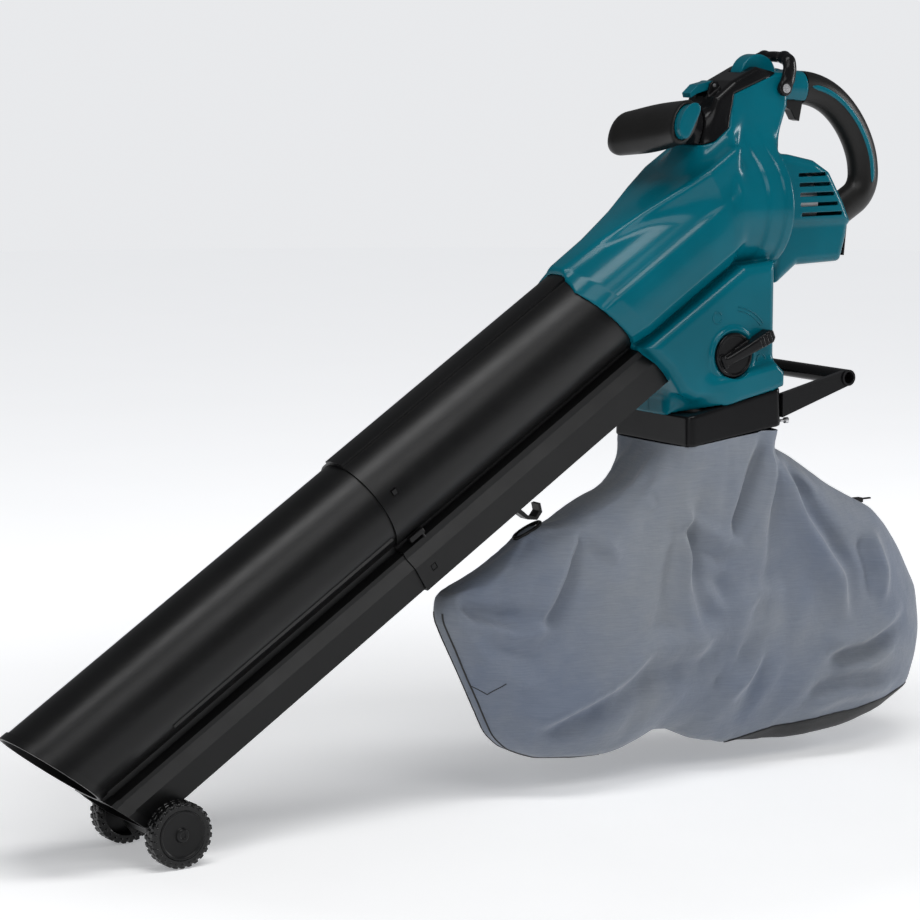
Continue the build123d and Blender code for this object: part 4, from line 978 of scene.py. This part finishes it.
def hang(obj, frames, reach):
    """Lets the cloth hang from its collar and its hook, and keeps every point within a reach."""
    start = np.empty(len(obj.data.vertices) * 3, np.float32)
    obj.data.vertices.foreach_get("co", start)
    start = start.reshape(-1, 3)
    held = obj.vertex_groups.new(name="held")
    for i, (x, y, z) in enumerate(start / MM):
        grip = 1 - below_collar(x, z) / RIM_GRIP
        if math.hypot(x - HOOK_POINT[0], z - HOOK_POINT[1]) < HOOK_GRIP and abs(y) < 16:
            grip = 1
        if math.hypot(x - BAG_TIP[0], z - BAG_TIP[1]) < TIP_GRIP:
            grip = max(grip, 0.5)
        if grip > 0:
            held.add([i], min(grip, 1.0), "REPLACE")
    cloth = obj.modifiers.new("cloth", "CLOTH")
    for key, value in CLOTH_SETTINGS.items():
        setattr(cloth.settings, key, value)
    cloth.collision_settings.use_self_collision = False
    cloth.point_cache.frame_start = 1
    cloth.point_cache.frame_end = frames
    for frame_number in range(1, frames + 1):
        scene.frame_set(frame_number)
    hung = obj.evaluated_get(bpy.context.evaluated_depsgraph_get())
    places = np.empty(len(start) * 3, np.float32)
    hung.data.vertices.foreach_get("co", places)
    move = places.reshape(-1, 3) - start
    far = np.linalg.norm(move, axis=1, keepdims=True)
    move *= np.tanh(far / reach) * reach / np.maximum(far, 1e-9)
    obj.modifiers.remove(cloth)
    scene.frame_set(1)
    obj.data.vertices.foreach_set("co", (start + move).ravel())
    obj.data.update()


hang(bag_cloth, HANG_FRAMES, HANG_REACH)
smoothing = bag_cloth.modifiers.new("rounding", "SUBSURF")
smoothing.levels = smoothing.render_levels = 1
apply_modifiers(bag_cloth)
bag_surface = BVHTree.FromPolygons([v.co.copy() for v in bag_cloth.data.vertices],
                                   [p.vertices[:] for p in bag_cloth.data.polygons])
thickness = bag_cloth.modifiers.new("cloth_thickness", "SOLIDIFY")
thickness.thickness = CLOTH * MM
thickness.offset = -1
apply_modifiers(bag_cloth)
finish_piece(bag_cloth, "machine", "bag_cloth", "dust_bag")


BAG_MIDDLE = (-110, -690)  # in its side view, in mm


def near_face(x, z):
    """Point and normal of the bag's near panel at a place in its side view, in metres, or None."""
    place, normal, _, _ = bag_surface.ray_cast(Vector((x * MM, -0.4, z * MM)), Vector((0, 1, 0)))
    return None if place is None or place.y > 0.03 else (place, normal)


def rim_point(x, y, z):
    """Where the bag is met on the way in from a point outside, towards its middle."""
    away = Vector((x - BAG_MIDDLE[0], 0, z - BAG_MIDDLE[1])).normalized()
    start = Vector((x, y, z)) * MM + away * 0.08
    place, normal, _, _ = bag_surface.ray_cast(start, -away)
    return place, normal


def ribbon(name, rows, lift):
    """A thin closed strip of zip tape over rows of (point, normal), lifted off the cloth."""
    count = len(rows[0])
    middle = Vector((BAG_MIDDLE[0], 0, BAG_MIDDLE[1])) * MM
    tops = [p + (n if n.dot(p - middle) > 0 else -n) * lift for row in rows for p, n in row]
    faces = [(i * count + j, i * count + j + 1, (i + 1) * count + j + 1, (i + 1) * count + j)
             for i in range(len(rows) - 1) for j in range(count - 1)]
    obj = piece_from(name, tops, faces)
    thick = obj.modifiers.new("thickness", "SOLIDIFY")
    thick.thickness = 1.4 * MM
    thick.offset = 0
    apply_modifiers(obj)
    return finish_piece(obj, "machine", "zip_tape")


def tube_along(name, places, radius, slot):
    """A round bead along a line of points: piping, a loop or a raised mark."""
    curve = bpy.data.curves.new(name, "CURVE")
    curve.dimensions = "3D"
    curve.bevel_depth = radius * MM
    curve.bevel_resolution = 2
    curve.use_fill_caps = True
    spline = curve.splines.new("POLY")
    spline.points.add(len(places) - 1)
    for point, place in zip(spline.points, places):
        point.co = (*place, 1)
    held = linked(name + "_line", curve)
    mesh = bpy.data.meshes.new_from_object(held)
    bpy.data.objects.remove(held)
    shade_smooth(mesh)
    return finish_piece(linked(name, mesh), "machine", slot)


def spaced(points, step):
    """Points at even steps along a polyline."""
    made = []
    for (x0, z0), (x1, z1) in zip(points, points[1:]):
        count = max(1, round(math.dist((x0, z0), (x1, z1)) / step))
        made += [(x0 + (x1 - x0) * i / count, z0 + (z1 - z0) * i / count) for i in range(count)]
    return made + [points[-1]]


# piping in the seam of the near and the far panel, along the front lower edge
FRONT_SEAM = BAG_OUTLINE[9:17]
for name, y in (("bag_piping_left", -BAG_GUSSET - 1), ("bag_piping_right", BAG_GUSSET + 1)):
    line = [rim_point(x, y, z) for x, z in spaced(FRONT_SEAM, 8)]
    tube_along(name, [p for p, _ in line if p is not None], 1.5, "zip_tape")

# dark binding that shows under the near panel at the rear
BINDING_STEPS, BINDING_WIDTH = 41, 32
binding_rows = []
for step in range(BINDING_STEPS):
    x = -70 + 8 * step
    wide = BINDING_WIDTH * math.sin(math.pi * (step + 0.5) / BINDING_STEPS) ** 0.6
    low = next((z for z in range(-912, -780) if near_face(x, z + 0.5)), None)
    if low is None:
        continue
    row = [near_face(x, low + 1.0 + wide * j / 6) for j in range(7)]
    if all(row):
        binding_rows.append(row)
ribbon("bag_binding", binding_rows, 0.0009)

# zip down the rear edge, with its slider and pull
REAR_SEAM = [(188, -572), (214, -598), (243, -636), (279, -698), (287, -755), (281, -800), (264, -842)]
zip_rows = []
for x, z in spaced(REAR_SEAM, 8):
    row = [rim_point(x, y, z) for y in (-6, -3, 0, 3, 6)]
    if all(p is not None for p, _ in row):
        zip_rows.append(row)
zip_piece = ribbon("bag_zip_tape", zip_rows, 0.0008)
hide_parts("bag_zip")
top = zip_rows[0][2][0] / MM
slider = box_object("bag_zip_slider", 0.5, [
    ((top.x - 6, -5.5, top.z - 1), (top.x + 7, 5.5, top.z + 5.5)),
    ((top.x + 5, -2.0, top.z + 2.0), (top.x + 24, 2.0, top.z + 4.2))])
finish_piece(slider, "machine", "black_gloss")

# corner patch seam, and the loop that the hook carries
CORNER_SEAM = [(-488, -760), (-468, -773), (-452, -757)]
met = [near_face(x, z) for x, z in spaced(CORNER_SEAM, 4)]
tube_along("bag_corner_seam", [found[0] for found in met if found], 0.7, "zip_tape")
loop_middle = rim_point(HOOK_POINT[0], 0, HOOK_POINT[1])[0]
LOOP_STEPS, LOOP_LONG, LOOP_WIDE = 32, 20, 9
turns = [2 * math.pi * i / LOOP_STEPS for i in range(LOOP_STEPS + 1)]
ring = [loop_middle + Vector((LOOP_LONG * math.cos(turn), LOOP_WIDE * math.sin(turn),
                              LOOP_WIDE * math.cos(turn) - 0.5)) * MM for turn in turns]
tube_along("bag_hook_loop", ring, 2.6, "black_satin")


# ---- raised marks on the block
def arc_points(middle, radius, first, last, steps):
    """Points in metres along an arc on the left face of the block; angles in degrees."""
    turns = [math.radians(first + (last - first) * i / steps) for i in range(steps + 1)]
    face = -BLOCK_HALF - 0.1
    return [Vector((middle[0] + radius * math.cos(t), face, middle[1] + radius * math.sin(t))) * MM
            for t in turns]


# name, middle, radius, first and last angle, steps, and radius of the bead
for name, *arc, bead in (("lever_travel_arc_outer", LEVER_PIVOT, 64, 38, 82, 16, 0.8),
                         ("lever_travel_arc_inner", LEVER_PIVOT, 59, 38, 82, 16, 0.6),
                         ("block_mark_upper", (-140, -297), 7.5, 20, 340, 20, 0.7),
                         ("block_mark_lower", (-66, -356), 7.0, 110, 430, 20, 0.7)):
    tube_along(name, arc_points(*arc), bead, "teal")

# ---- floor
FLOOR_R, GLOW_R = 9.0, 3.6  # of the floor, and of its glow round the middle (m)
bpy.ops.mesh.primitive_circle_add(vertices=96, radius=FLOOR_R, fill_type="NGON",
                                  location=(-0.4, 0, cad_box[0][2] - 0.0005))
floor = bpy.context.object
floor.name = "studio_floor"
floor_look = Look("floor_paper", Roughness=0.6, Specular_IOR_Level=0.2)
paper_cloud = floor_look.tint(floor_look.noise(3.0, 3.0),
                              [(0.3, (0.90, 0.90, 0.90)), (0.7, (0.93, 0.93, 0.93))])
floor_look.into(paper_cloud, "Base Color")
glow = floor_look.node("ShaderNodeTexGradient", gradient_type="QUADRATIC_SPHERE")
floor_look.join(floor_look.stretched((1 / GLOW_R, 1 / GLOW_R, 1)), glow.inputs["Vector"])
floor_look.shader.inputs["Emission Color"].default_value = PAPER_COLOUR
floor_look.into(floor_look.spread(glow.outputs["Fac"], 0.74, 0.30), "Emission Strength")
floor.data.materials.append(floor_look.mat)
